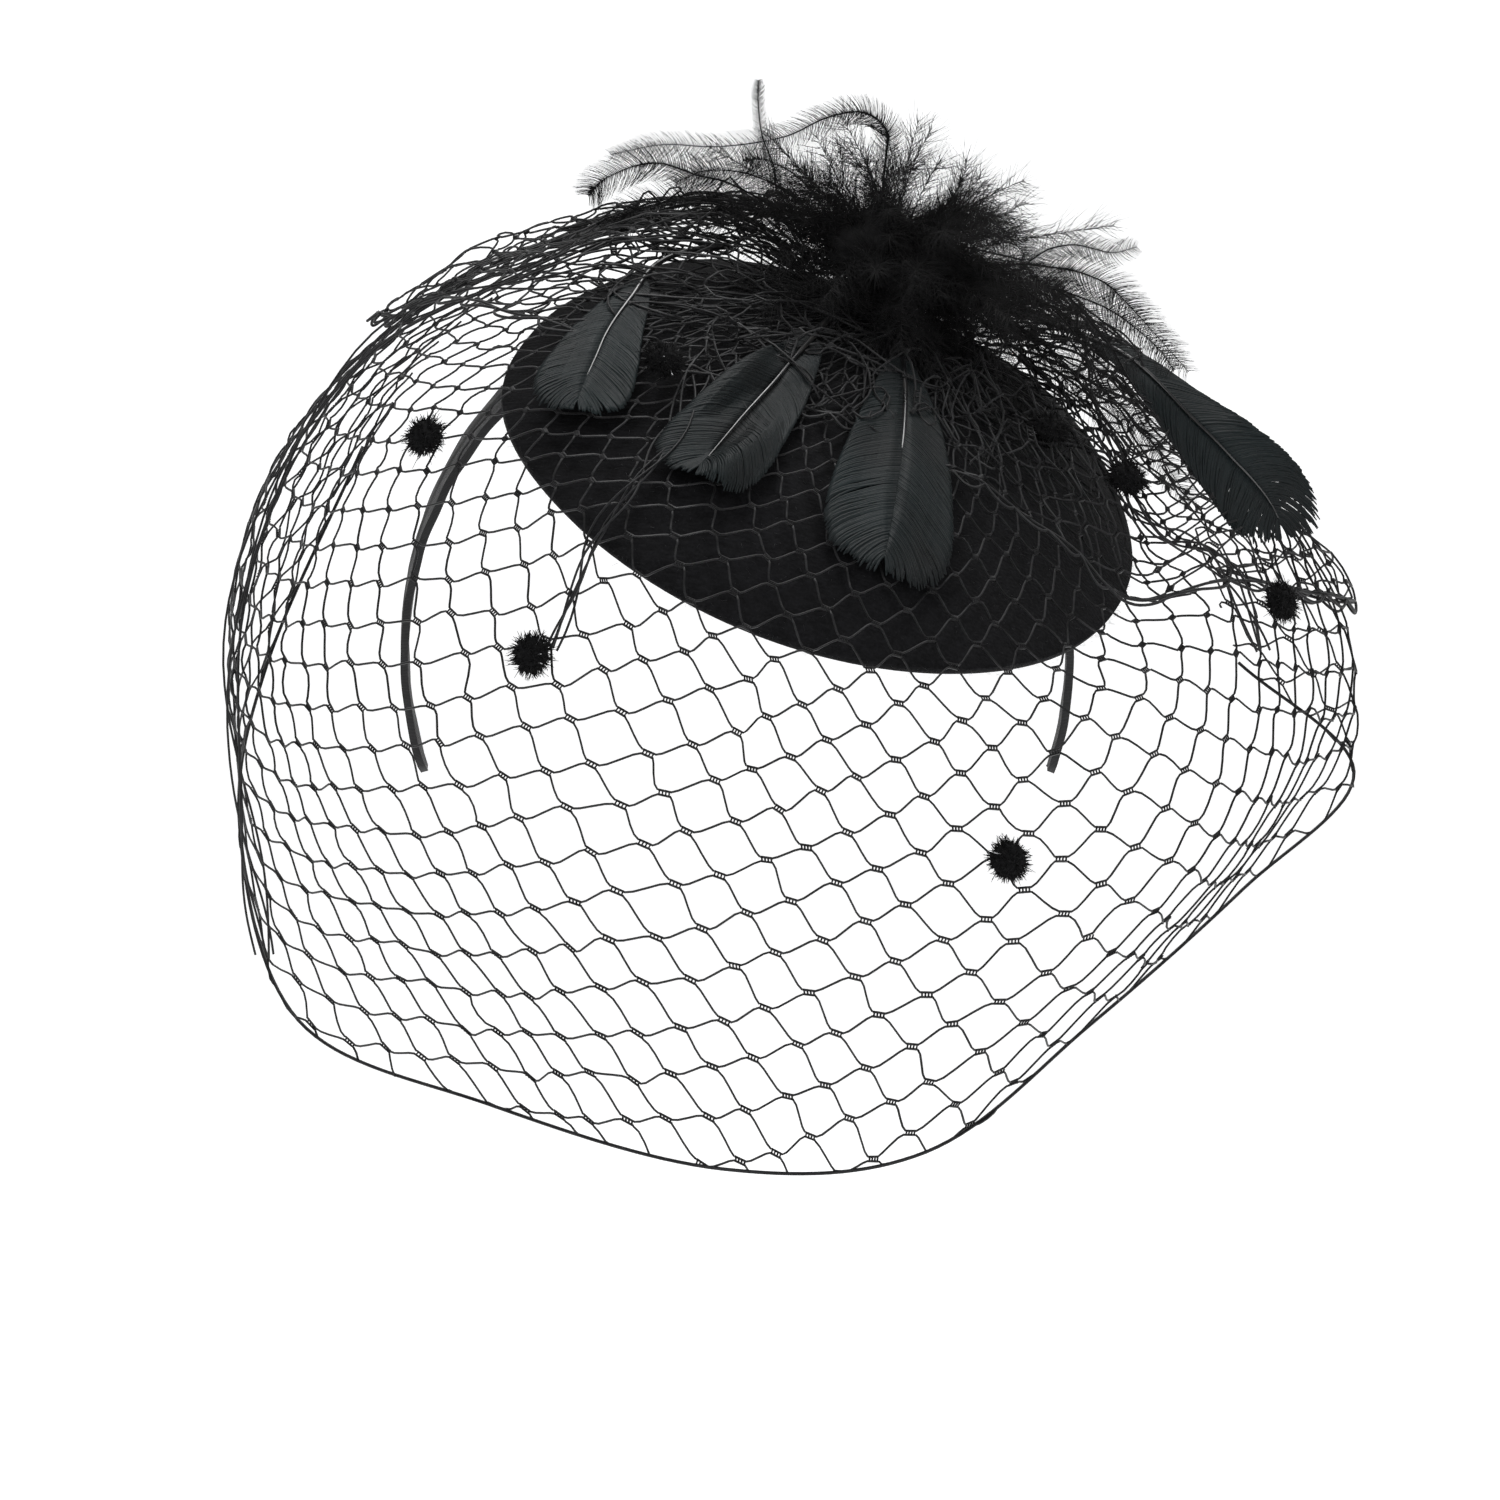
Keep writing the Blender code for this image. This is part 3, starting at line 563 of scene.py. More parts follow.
@dataclass(frozen=True)
class HatShape:
    """The felt saucer's form and place."""

    width: float = 0.159
    length: float = 0.182
    dome: float = 0.020
    felt: float = 0.002
    lip: float = 0.0024
    roll: float = math.radians(23.6)
    pitch: float = math.radians(31)
    aside: float = 0.0347
    forward: float = 0.0504
    lift: float = -0.00298
    dome_power: float = 2.2
    rim_shares: tuple = (
        1.040, 1.035, 1.045, 1.010, 0.990, 0.935, 0.960, 1.040, 1.030, 1.005, 1.010, 1.030
    )
    mount_side: float = -0.02
    mount_back: float = 0.55

    @cached_property
    def axes(self) -> Array:
        """Across the rim, towards its back, and up out of the dome, as rows."""
        across = np.array([math.cos(self.roll), 0.0, -math.sin(self.roll)])
        back = np.array(
            [
                math.sin(self.pitch) * math.sin(self.roll),
                math.cos(self.pitch),
                math.sin(self.pitch) * math.cos(self.roll),
            ]
        )
        return np.array([across, back, np.cross(across, back)])

    @cached_property
    def centre(self) -> Array:
        """The rim plane's middle."""
        return np.array([self.aside, -self.forward, self.lift]) @ self.axes

    @cached_property
    def mount(self) -> Array:
        """Where the plume stands, in the rim plane."""
        return np.array([self.mount_side * self.width / 2, self.mount_back * self.length / 2])

    def rim_radius(self, angle: Any) -> Array:
        """Radius of the rim at angles in its own plane."""
        turn = np.asarray(angle, float)
        oval = 1.0 / np.hypot(np.cos(turn) / (self.width / 2), np.sin(turn) / (self.length / 2))
        shares = np.array(self.rim_shares)
        ring = np.concatenate([shares[-1:], shares, shares[:2]])
        place = (np.degrees(turn) % 360.0) / 360.0 * len(shares) + 1
        return oval * smooth(ring, place / (len(ring) - 1))

    def reach(self, side: Array, back: Array) -> Array:
        """Distance from the middle as a share of the rim's radius."""
        return np.hypot(side, back) / self.rim_radius(np.arctan2(back, side))

    def felt_height(self, side: Array, back: Array) -> Array:
        """Height of the felt's outer face above the rim plane."""
        return self.dome * (1.0 - np.minimum(self.reach(side, back), 1.0) ** self.dome_power)

    def point(self, side: Any, back: Any, height: Any) -> Array:
        """Places given across, back and up in the hat's own frame."""
        local = np.stack(np.broadcast_arrays(side, back, height), axis=-1)
        return self.centre + local @ self.axes

    def local(self, points: Array) -> tuple[Array, Array, Array]:
        """Places in the hat's own frame: across, back and up."""
        found = (points - self.centre) @ self.axes.T
        return found[..., 0], found[..., 1], found[..., 2]

    def felt_normal(self, side: float, back: float) -> Array:
        """Direction out of the felt at a place in the rim plane."""
        spots = [(side, back), (side + self.felt, back), (side, back + self.felt)]
        here, beside, behind = (
            self.point(a, b, self.felt_height(np.array(a), np.array(b))) for a, b in spots
        )
        return unit(np.cross(beside - here, behind - here))


@dataclass(frozen=True)
class VeilShape:
    """The surface that the veil's netting follows, from the gather to the hem."""

    hat: HatShape = field(default_factory=HatShape)
    ring_radius: float = 0.012
    ring_start: float = math.radians(132)
    ring_sweep: float = math.radians(290)
    clearance: float = 0.00115
    span: float = 0.160
    reach: float = 0.125
    drop: float = 0.212
    puff: float = 0.025
    steps_down: int = 72
    steps_around: int = 200

    # Rim angle, crest, then shoulder, bulge and hem as shares of span, reach and drop.
    rows: tuple = (
        (112, 0.48, -0.24, 0.32, 0.080, -0.47, 0.38, -0.02, -0.61, 0.40, -0.16),
        (133, 0.56, -0.43, 0.16, 0.040, -0.68, 0.24, -0.15, -0.76, 0.29, -0.43),
        (150, 0.52, -0.49, 0.00, 0.000, -0.77, 0.06, -0.25, -0.79, 0.08, -0.63),
        (177, 0.36, -0.57, -0.18, -0.085, -0.77, -0.18, -0.40, -0.68, -0.22, -0.85),
        (213, 0.16, -0.48, -0.66, -0.250, -0.57, -0.64, -0.54, -0.37, -0.63, -0.935),
        (262, 0.06, -0.05, -0.99, -0.470, -0.07, -1.02, -0.71, -0.02, -0.96, -0.995),
        (305, 0.06, 0.36, -0.87, -0.540, 0.36, -0.92, -0.76, 0.28, -0.86, -0.980),
        (338, 0.16, 0.65, -0.55, -0.470, 0.69, -0.54, -0.66, 0.54, -0.42, -0.850),
        (368, 0.48, 0.80, -0.16, -0.290, 0.91, -0.10, -0.50, 0.80, 0.03, -0.700),
        (398, 0.96, 0.79, 0.10, -0.165, 0.97, 0.20, -0.37, 1.00, 0.34, -0.560),
        (430, 0.72, 0.61, 0.32, -0.100, 0.74, 0.42, -0.25, 0.82, 0.46, -0.425),
    )

    @cached_property
    def grid(self) -> Array:
        """Points of the surface, by share round and share down."""
        around = np.linspace(0.0, 1.0, self.steps_around + 1)
        table = smooth(self.rows, around)
        turn = self.ring_start + self.ring_sweep * around
        ring = self.hat.mount + self.ring_radius * np.stack([np.cos(turn), np.sin(turn)], axis=-1)
        rim = np.radians(table[:, 0])
        edge = (self.hat.rim_radius(rim) + self.clearance)[:, None] * np.stack(
            [np.cos(rim), np.sin(rim)], axis=-1
        )
        controls = []
        for part in (0.0, 0.25, 0.5, 0.75, 1.0):
            spot = ring + (edge - ring) * part
            rise = table[:, 1] * self.puff * part * part * (3 - 2 * part)
            height = self.hat.felt_height(spot[:, 0], spot[:, 1]) + self.clearance + rise
            controls.append(self.hat.point(spot[:, 0], spot[:, 1], height))
        sizes = np.array([self.span, self.reach, self.drop])
        controls += [table[:, start : start + 3] * sizes for start in (2, 5, 8)]
        columns = smooth(np.array(controls), np.linspace(0, 1, self.steps_down + 1))
        columns = self.clear_of_hat(columns.transpose(1, 0, 2))
        return np.array([self._evenly(column) for column in columns])

    def _evenly(self, column: Array) -> Array:
        """The column with its points at even distances."""
        lengths = np.linalg.norm(np.diff(column, axis=0), axis=1)
        along = np.concatenate([[0.0], np.cumsum(lengths)])
        even = np.linspace(0.0, along[-1], len(column))
        return np.array([np.interp(even, along, column[:, axis]) for axis in range(3)]).T

    def clear_of_hat(self, points: Array) -> Array:
        """Points lifted off the felt where they would come closer than the net lies."""
        side, back, height = self.hat.local(points)
        rim = self.hat.rim_radius(np.arctan2(back, side)) + self.clearance
        over = np.hypot(side, back) < rim
        least = self.hat.felt_height(side, back) + self.clearance
        lifted = self.hat.point(side, back, np.maximum(height, least))
        return np.where(over[..., None] & (height < least)[..., None], lifted, points)

    @cached_property
    def normals(self) -> Array:
        """Directions out of the surface at the grid's points."""
        around, down = np.gradient(self.grid, axis=0), np.gradient(self.grid, axis=1)
        return unit(np.cross(down, around))

    @cached_property
    def depths(self) -> Array:
        """Length of the surface from the gather to the hem, by share round."""
        return np.linalg.norm(np.diff(self.grid, axis=1), axis=2).sum(axis=1)

    def girth(self, down: float) -> Array:
        """Distance round the surface at a share down, from its start to each share round."""
        row = self.grid[:, round(down * self.steps_down)]
        return np.concatenate([[0.0], np.cumsum(np.linalg.norm(np.diff(row, axis=0), axis=1))])

    def at(self, around: Array, down: Array, lift: Any = 0.0) -> Array:
        """Places on the surface, or off it.

        Args:
            around: Shares of the way round.
            down: Shares of the way from the gather to the hem.
            lift: Distance out of the surface.

        Returns:
            The places.
        """
        across = np.clip(around, 0, 1) * self.steps_around
        below = np.clip(down, 0, 1) * self.steps_down
        i = np.minimum(across.astype(int), self.steps_around - 1)
        j = np.minimum(below.astype(int), self.steps_down - 1)
        s, t = (across - i)[..., None], (below - j)[..., None]

        def read(table: Array) -> Array:
            """The table between its four nearest entries."""
            near = table[i, j] * (1 - t) + table[i, j + 1] * t
            far = table[i + 1, j] * (1 - t) + table[i + 1, j + 1] * t
            return near * (1 - s) + far * s

        return read(self.grid) + unit(read(self.normals)) * np.asarray(lift)[..., None]


@dataclass(frozen=True)
class BandShape:
    """The headband's arch, in a plane that leans back as it goes down."""

    half_width: float = 0.085
    rise: float = 0.099
    end_angle: float = math.radians(108)
    lean: float = math.radians(25)
    width: float = 0.015
    end_width: float = 0.009
    thickness: float = 0.002

    def point(self, angle: Array, outwards: Array, across: Array) -> Array:
        """Places at an angle from the crown, then outwards and across the band."""
        sideways = (self.half_width + outwards) * np.sin(angle)
        upwards = (self.rise + outwards) * np.cos(angle) - self.rise
        return np.stack(
            [
                sideways,
                -upwards * math.sin(self.lean) + across * math.cos(self.lean),
                upwards * math.cos(self.lean) + across * math.sin(self.lean),
            ],
            axis=-1,
        )


# Pieces


@dataclass
class Headband:
    """The cloth-covered band, with the lapped seam that runs along its outer side."""

    shape: BandShape = field(default_factory=BandShape)
    steps_along: int = 150
    steps_across: int = 14
    lap: float = 0.0004
    lap_place: float = 0.35
    lap_slope: float = 12.0
    wrinkle: float = 0.00018
    tip_start: float = 0.97
    tip_length: float = 0.03
    tip_taper: float = 0.85
    edge: float = 0.0007

    def build(self) -> list[bpy.types.Object]:
        """Model the band from a grid, bent along the arch and thickened."""
        deselect_all()
        bpy.ops.mesh.primitive_grid_add(
            x_subdivisions=self.steps_along, y_subdivisions=self.steps_across, size=2
        )
        band = bpy.context.object
        band.name = band.data.name = "headband_cover"
        flat = coordinates(band.data)
        along, across = flat[:, 0], flat[:, 1]
        reshape(band.data, self._bend(along, across))
        if self._crown_normal(band.data) < 0:
            band.data.flip_normals()
        wall = band.modifiers.new("Wall", "SOLIDIFY")
        wall.thickness = self.shape.thickness
        wall.offset = 1.0
        bevel = band.modifiers.new("Edge", "BEVEL")
        bevel.width, bevel.segments = self.edge, 3
        bevel.limit_method, bevel.angle_limit = "ANGLE", math.radians(50)
        apply_modifiers(band)
        outward(band)
        band.data.materials.append(BandFinish().material())
        band.data.shade_smooth()
        return [finish_piece(band, Slot.BAND, "headband")]

    def _bend(self, along: Array, across: Array) -> Array:
        """Places on the arch for a grid from -1 to 1, narrowed and rounded at the ends."""
        share = np.abs(along)
        width = self.shape.width + (self.shape.end_width - self.shape.width) * share**2
        tip = np.clip((share - self.tip_start) / self.tip_length, 0, 1)
        width = width * np.sqrt(1 - (self.tip_taper * tip) ** 2)
        lap = self.lap * np.clip((across - self.lap_place) * self.lap_slope, 0, 1)
        crease = ripple(np.stack([along * 14, across * 0.9], axis=-1), 1.0, 7) * self.wrinkle
        return self.shape.point(self.shape.end_angle * along, lap + crease, across * width / 2)

    @staticmethod
    def _crown_normal(mesh: bpy.types.Mesh) -> float:
        """Which way the face nearest the crown points, upwards being positive."""
        return min(mesh.polygons, key=lambda face: face.center.length).normal.z


@dataclass
class FeltHat:
    """The felt saucer, with its turned lip and its brushed nap."""

    shape: HatShape = field(default_factory=HatShape)
    sides: int = 144
    rings: int = 26
    lip_rings: int = 4
    lip_curl: float = 0.6
    edge: float = 0.0006
    waviness: float = 0.0004
    nap_hairs: int = 2600
    nap_length: float = 0.0013

    def build(self) -> list[bpy.types.Object]:
        """Model the felt and the nap that stands on it."""
        return [self._felt(), self._nap()]

    def _felt(self) -> bpy.types.Object:
        """A circle, extruded in rings to the middle and down to the lip, then shaped."""
        deselect_all()
        bpy.ops.mesh.primitive_circle_add(vertices=self.sides, radius=1.0, fill_type="NOTHING")
        hat = bpy.context.object
        hat.name = hat.data.name = "felt_saucer"
        bpy.ops.object.mode_set(mode="EDIT")
        bpy.ops.mesh.select_all(action="SELECT")
        for ring in range(self.rings - 1, 0, -1):
            scale = ring / (ring + 1)
            bpy.ops.mesh.extrude_region_move()
            bpy.ops.transform.resize(value=(scale, scale, 1.0))
        bpy.ops.mesh.extrude_region_move()
        bpy.ops.mesh.merge(type="CENTER")
        bpy.ops.object.mode_set(mode="OBJECT")
        reach = np.hypot(*coordinates(hat.data)[:, :2].T)
        hat.data.vertices.foreach_set("select", reach > 1 - 1e-4)
        bpy.ops.object.mode_set(mode="EDIT")
        bpy.ops.mesh.select_mode(type="VERT")
        for _ in range(self.lip_rings):
            bpy.ops.mesh.extrude_region_move()
            bpy.ops.transform.translate(value=(0, 0, -1.0))
        bpy.ops.object.mode_set(mode="OBJECT")
        reshape(hat.data, self._shaped(coordinates(hat.data)))
        outward(hat)
        top = max(hat.data.polygons, key=lambda face: face.center.z)
        if top.normal.z < 0:
            hat.data.flip_normals()
        wall = hat.modifiers.new("Felt", "SOLIDIFY")
        wall.thickness, wall.offset, wall.use_even_offset = self.shape.felt, -1.0, True
        bevel = hat.modifiers.new("Edge", "BEVEL")
        bevel.width, bevel.segments = self.edge, 3
        bevel.limit_method, bevel.angle_limit = "ANGLE", math.radians(60)
        apply_modifiers(hat)
        hat.data.materials.append(FeltFinish().material())
        hat.data.shade_smooth()
        return finish_piece(hat, Slot.FELT, "hat_base")

    def _shaped(self, flat: Array) -> Array:
        """The flat rings as a dome with a lip that curls down and in at the rim."""
        lip = np.clip(-flat[:, 2] / self.lip_rings, 0, 1)
        reach = np.hypot(flat[:, 0], flat[:, 1])
        angle = np.arctan2(flat[:, 1], flat[:, 0])
        curl = lip * math.pi * self.lip_curl
        radius = self.shape.rim_radius(angle) * reach
        radius = radius - self.shape.lip / 2 * (1 - np.cos(curl))
        height = self.shape.dome * (1 - reach**self.shape.dome_power)
        height = height - self.shape.lip * np.sin(curl) * (lip > 0)
        wave = ripple(np.stack([np.cos(angle), np.sin(angle)], -1) * reach[:, None], 0.8, 3)
        height = height + self.waviness * wave * reach
        return self.shape.point(radius * np.cos(angle), radius * np.sin(angle), height)

    def _nap(self) -> bpy.types.Object:
        """Short fibres that lie over the felt and stand out at its rim."""
        rng = np.random.default_rng(SEED)
        reach = np.sqrt(rng.uniform(0.02, 1.0, self.nap_hairs))
        reach[: self.nap_hairs // 4] = 1.0
        angle = rng.uniform(0, 2 * math.pi, self.nap_hairs)
        radius = reach * self.shape.rim_radius(angle)
        side, back = radius * np.cos(angle), radius * np.sin(angle)
        height = self.shape.felt_height(side, back)
        at_rim = reach > 0.999
        height = height - np.where(at_rim, rng.uniform(0, self.shape.lip, self.nap_hairs), 0)
        start = self.shape.point(side, back, height)
        heading = rng.normal(size=(self.nap_hairs, 3)) * (1.0, 1.0, 0.25)
        heading[:, 2] = np.abs(heading[:, 2])
        heading[:, 0] += at_rim * 2.0 * np.cos(angle)
        heading[:, 1] += at_rim * 2.0 * np.sin(angle)
        heading = unit(heading) @ self.shape.axes
        curve = rng.normal(0, 0.3, (self.nap_hairs, 3))
        length = self.nap_length * rng.uniform(0.4, 1.3, self.nap_hairs)
        t = np.linspace(0, 1, 3)[None, :, None]
        lines = start[:, None, :] + length[:, None, None] * (
            heading[:, None, :] * t + curve[:, None, :] * t**2
        )
        strands = Strands()
        strands.add(lines, np.array([0.00003, 0.000026, 0.00001]), 3)
        material = ThreadFinish("felt_nap", (0.012, 0.012, 0.013), (0.05, 0.05, 0.054)).material()
        return finish_piece(strands.piece("felt_nap", material), Slot.FELT)


class Flat:
    """The veil's strip laid flat: shares round and down to places on the plane, and back."""

    def __init__(self, veil: VeilShape, sector: float, row: float, hang: float) -> None:
        """Settle how the veil opens out.

        Args:
            veil: The surface.
            sector: How far the columns turn from one end to the other, in radians.
            row: Share down of the row that keeps its length.
            hang: 0 to measure from the gather, 1 from the hem.
        """
        self.veil = veil
        self.shares = np.linspace(0, 1, veil.steps_around + 1)
        self.round = veil.girth(row)
        self.radius = self.round[-1] / sector
        depth = veil.depths
        self.start = hang * (depth.max() - depth) - row * depth.mean()

    def from_plane(self, places: Array) -> tuple[Array, Array]:
        """Shares round and down for places on the plane, past 0 and 1 outside the veil."""
        x, y = places[..., 0], places[..., 1] - self.radius
        sign = math.copysign(1.0, self.radius)
        turn = np.arctan2(sign * x, -sign * y)
        distance = self.round[-1] / 2 + turn * self.radius
        around = np.interp(distance, self.round, self.shares)
        beyond = np.clip(distance - self.round[-1], 0, None) + np.clip(distance, None, 0)
        along = sign * np.hypot(x, y) - self.radius
        depth = np.interp(around, self.shares, self.veil.depths)
        down = (along - np.interp(around, self.shares, self.start)) / depth
        return around + beyond, down


@dataclass
class Netting:
    """Knotted netting: where four strands meet, two run side by side under small rungs."""

    cell: float = 0.0094
    strand: float = 0.00033
    rail: float = 0.0023
    rail_gap: float = 0.0011
    rungs: int = 4
    bends: int = 5
    stiffness: float = 0.10
    rung_spread: float = 0.75
    rung_thickness: float = 0.8
    looseness: float = 0.00045
    tilt: float = 0.13
    slack: float = 0.00045
    shortest_strand: float = 0.0012
    shortest_rung: float = 0.0003
    sides: int = 3

    def flat(self, reach: float, turn: float, rng: np.random.Generator) -> tuple[Array, ...]:
        """Threads and rungs on the plane.

        Args:
            reach: Half the side of the square that they cover.
            turn: Direction of the strands.
            rng: Source of the small irregularities.

        Returns:
            Threads with a rail at each end, threads without, and rungs, each of shape
            (lines, points, 2).
        """
        count = int(reach / self.cell) + 1
        steps = np.arange(-count, count + 1)
        i, j = np.meshgrid(steps, steps, indexing="ij")
        first = np.array([math.cos(turn), math.sin(turn)])
        second = np.array([-math.sin(turn), math.cos(turn)])
        knots = self.cell * (i[..., None] * first + j[..., None] * second)
        knots = knots + rng.normal(0, self.looseness, knots.shape)
        tilt = turn - math.pi / 4 + rng.normal(0, self.tilt, i.shape)
        along = np.stack([np.cos(tilt), np.sin(tilt)], -1) * self.rail / 2
        across = np.stack([-np.sin(tilt), np.cos(tilt)], -1) * self.rail_gap / 2

        def corner(grid: Array, right: int, up: int) -> Array:
            """A corner of each knot."""
            return grid + along * right + across * up

        upper_left, upper_right = corner(knots, -1, 1), corner(knots, 1, 1)
        lower_left, lower_right = corner(knots, -1, -1), corner(knots, 1, -1)
        bend = self._bend(upper_right[:-1], along[:-1], lower_left[1:], along[1:])
        railed = np.concatenate(
            [upper_left[:-1, :, None], bend, lower_right[1:, :, None]], axis=2
        ).reshape(-1, self.bends + 2, 2)
        plain = self._bend(
            upper_left[:, :-1], -along[:, :-1], lower_right[:, 1:], -along[:, 1:]
        ).reshape(-1, self.bends, 2)
        places = np.linspace(-self.rung_spread, self.rung_spread, self.rungs)[:, None]
        middle = (knots[..., None, :] + along[..., None, :] * places).reshape(-1, 2)
        half = np.repeat(across.reshape(-1, 2), self.rungs, axis=0)
        ladder = np.stack([middle - half, middle + half], axis=1)
        return railed, plain, ladder

    def _bend(self, start: Array, leave: Array, end: Array, arrive: Array) -> Array:
        """Gentle S curves between knots, leaving and arriving along the rails."""
        chord = np.linalg.norm(end - start, axis=-1, keepdims=True)
        handle = unit(leave) * chord * self.stiffness
        finish = unit(arrive) * chord * self.stiffness
        t = np.linspace(0, 1, self.bends)[:, None]
        p0, p1, p2, p3 = (
            point[..., None, :] for point in (start, start + handle, end - finish, end)
        )
        return (
            p0 * (1 - t) ** 3
            + p1 * 3 * t * (1 - t) ** 2
            + p2 * 3 * t**2 * (1 - t)
            + p3 * t**3
        )

    def lay(
        self,
        strands: Strands,
        place: Callable[[Array, Array], tuple[Array, Array]],
        reach: float,
        turn: float,
        seed: int,
    ) -> None:
        """Lay the netting over a surface.

        Args:
            strands: Where the tubes go.
            place: Gives the places and whether each lies on the surface, from places on
                the plane and lifts off it.
            reach: Half the side of the square of netting that is laid.
            turn: Direction of the strands on the plane.
            seed: Which irregularities it has.
        """
        rng = np.random.default_rng(seed)
        for lines in self.flat(reach, turn, rng):
            is_rung = lines.shape[1] == 2
            t = np.linspace(0, 1, lines.shape[1])
            sag = rng.normal(0, self.slack, (len(lines), 1)) * np.sin(math.pi * t)
            points, on = place(lines, sag)
            keep = on[:, 0] | on[:, -1]
            points = points[keep]
            spans = np.linalg.norm(np.diff(points, axis=1), axis=2).sum(axis=1)
            points = points[spans > (self.shortest_rung if is_rung else self.shortest_strand)]
            thin = self.rung_thickness if is_rung else 1.0
            strands.add(points, self.strand * thin, self.sides)


@dataclass
class Veil:
    """The birdcage veil: its main net, its shorter upper layer, hems, folds and gathers."""

    shape: VeilShape = field(default_factory=VeilShape)
    netting: Netting = field(default_factory=Netting)
    sector: float = -1.2
    turn: float = math.radians(32)
    row: float = 0.5
    hang: float = 0.5
    laid: float = 0.40
    upper_lift: float = 0.0026
    least_lift: float = 0.0008
    upper_sector: float = -0.5
    upper_row: float = 0.4
    upper_turn: float = math.radians(64)
    upper_start: float = 0.14
    upper_laid: float = 0.36
    upper_hem: tuple = (0.60, 0.56, 0.45, 0.33, 0.25, 0.22, 0.26, 0.40, 0.60, 0.76, 0.84)
    loop: float = 0.011
    loop_depth: float = 0.014
    ruffle_hem: tuple = (0.30, 0.28, 0.25, 0.23, 0.20, 0.18, 0.19, 0.24, 0.32, 0.34, 0.32)
    ruffle_height: float = 0.0065
    ruffle_layers: int = 2
    ruffle_laid: float = 0.14
    ruffle_scale: float = 0.85
    ruffle_depth: float = 0.22
    gather_threads: int = 14
    folds: tuple = (
        (0.0085, 4, ((0.22, 0.12), (0.29, 0.32), (0.315, 0.55), (0.30, 0.80), (0.28, 0.97))),
        (0.0030, 4, ((0.42, 0.20), (0.46, 0.34), (0.465, 0.46), (0.455, 0.57))),
        (0.0050, 4, ((0.80, 0.10), (0.80, 0.30), (0.78, 0.46), (0.76, 0.62))),
    )
    feathers: tuple = (
        (0.925, 0.21), (0.897, 0.30), (0.868, 0.38), (0.838, 0.46), (0.808, 0.56),
        (0.300, 0.175), (0.340, 0.200), (0.395, 0.275), (0.427, 0.360),
        (0.465, 0.150), (0.470, 0.190), (0.475, 0.290), (0.477, 0.377),
        (0.570, 0.160), (0.567, 0.210), (0.562, 0.320), (0.560, 0.423),
    )
    feather_room: float = 0.018
    feather_slope: float = 0.012

    def build(self) -> list[bpy.types.Object]:
        """Model the net's layers."""
        material = ThreadFinish().material()
        layers = (self._main, self._upper, self._ruffle, self._folds)
        return [layer(material) for layer in layers]

    def _main(self, material: bpy.types.Material) -> bpy.types.Object:
        """The main net, from the gather to the hem."""
        strands = Strands()
        flat = Flat(self.shape, self.sector, self.row, self.hang)

        def place(places: Array, sag: Array) -> tuple[Array, Array]:
            """Places on the veil, held to its edges."""
            around, down = flat.from_plane(places)
            on = (around > 0) & (around < 1) & (down > 0) & (down < 1)
            return self.shape.at(around, down, sag), on

        self.netting.lay(strands, place, self.laid, self.turn, SEED)
        hem = self.shape.at(np.linspace(0, 1, 161), np.ones(161), 0.0)
        strands.add(hem[None], self.netting.strand * 1.4, 5)
        return finish_piece(strands.piece("veil_net", material), Slot.NET, "veil")

    def _upper(self, material: bpy.types.Material) -> bpy.types.Object:
        """The shorter layer over it, which ends in a looped selvedge."""
        strands = Strands()
        flat = Flat(self.shape, self.upper_sector, self.upper_row, 0.0)

        def lift(around: Array, down: Array) -> Array:
            """How far the layer stands off the main net."""
            waves = ripple(np.stack([around * 2.2, down], axis=-1), 0.22, 12)
            loose = self.upper_lift * (1.15 + 0.75 * waves)
            free = self._clear_of_feathers(around, down)
            return self.least_lift + (loose - self.least_lift) * free

        def place(places: Array, sag: Array) -> tuple[Array, Array]:
            """Places on the layer, held to its hem."""
            around, down = flat.from_plane(places)
            least = smooth(self.upper_hem, around)
            on = (around > 0) & (around < 1) & (down > self.upper_start) & (down < least)
            down = np.clip(down, self.upper_start, least)
            return self.shape.at(around, down, lift(around, down) + sag), on

        self.netting.lay(strands, place, self.upper_laid, self.upper_turn, SEED + 1)
        around = np.linspace(0, 1, 700)
        length = self.shape.girth(self.upper_row)[-1]
        phase = around * length / self.loop * math.pi
        for reach in (0.0, self.loop_depth):
            down = smooth(self.upper_hem, around) + 0.002 + reach * np.abs(np.sin(phase))
            edge = self.shape.at(around, down, lift(around, down))
            strands.add(edge[None], self.netting.strand * 1.15, 4)
        return finish_piece(strands.piece("veil_upper_layer", material), Slot.NET)

    def _clear_of_feathers(self, around: Array, down: Array) -> Array:
        """0 under the paddle feathers, which hold the layer down, and 1 away from them."""
        spots = np.array(self.feathers)
        across = (around[..., None] - spots[:, 0]) * self.shape.girth(self.upper_row)[-1]
        below = (down[..., None] - spots[:, 1]) * self.shape.depths.mean()
        nearest = np.hypot(across, below).min(axis=-1)
        return np.clip((nearest - self.feather_room) / self.feather_slope, 0, 1)

    def _ruffle(self, material: bpy.types.Material) -> bpy.types.Object:
        """Net crumpled up round the plume's foot."""
        strands = Strands()
        rng = np.random.default_rng(SEED + 7)
        for layer in range(self.ruffle_layers):
            aim = rng.uniform(0, math.pi)

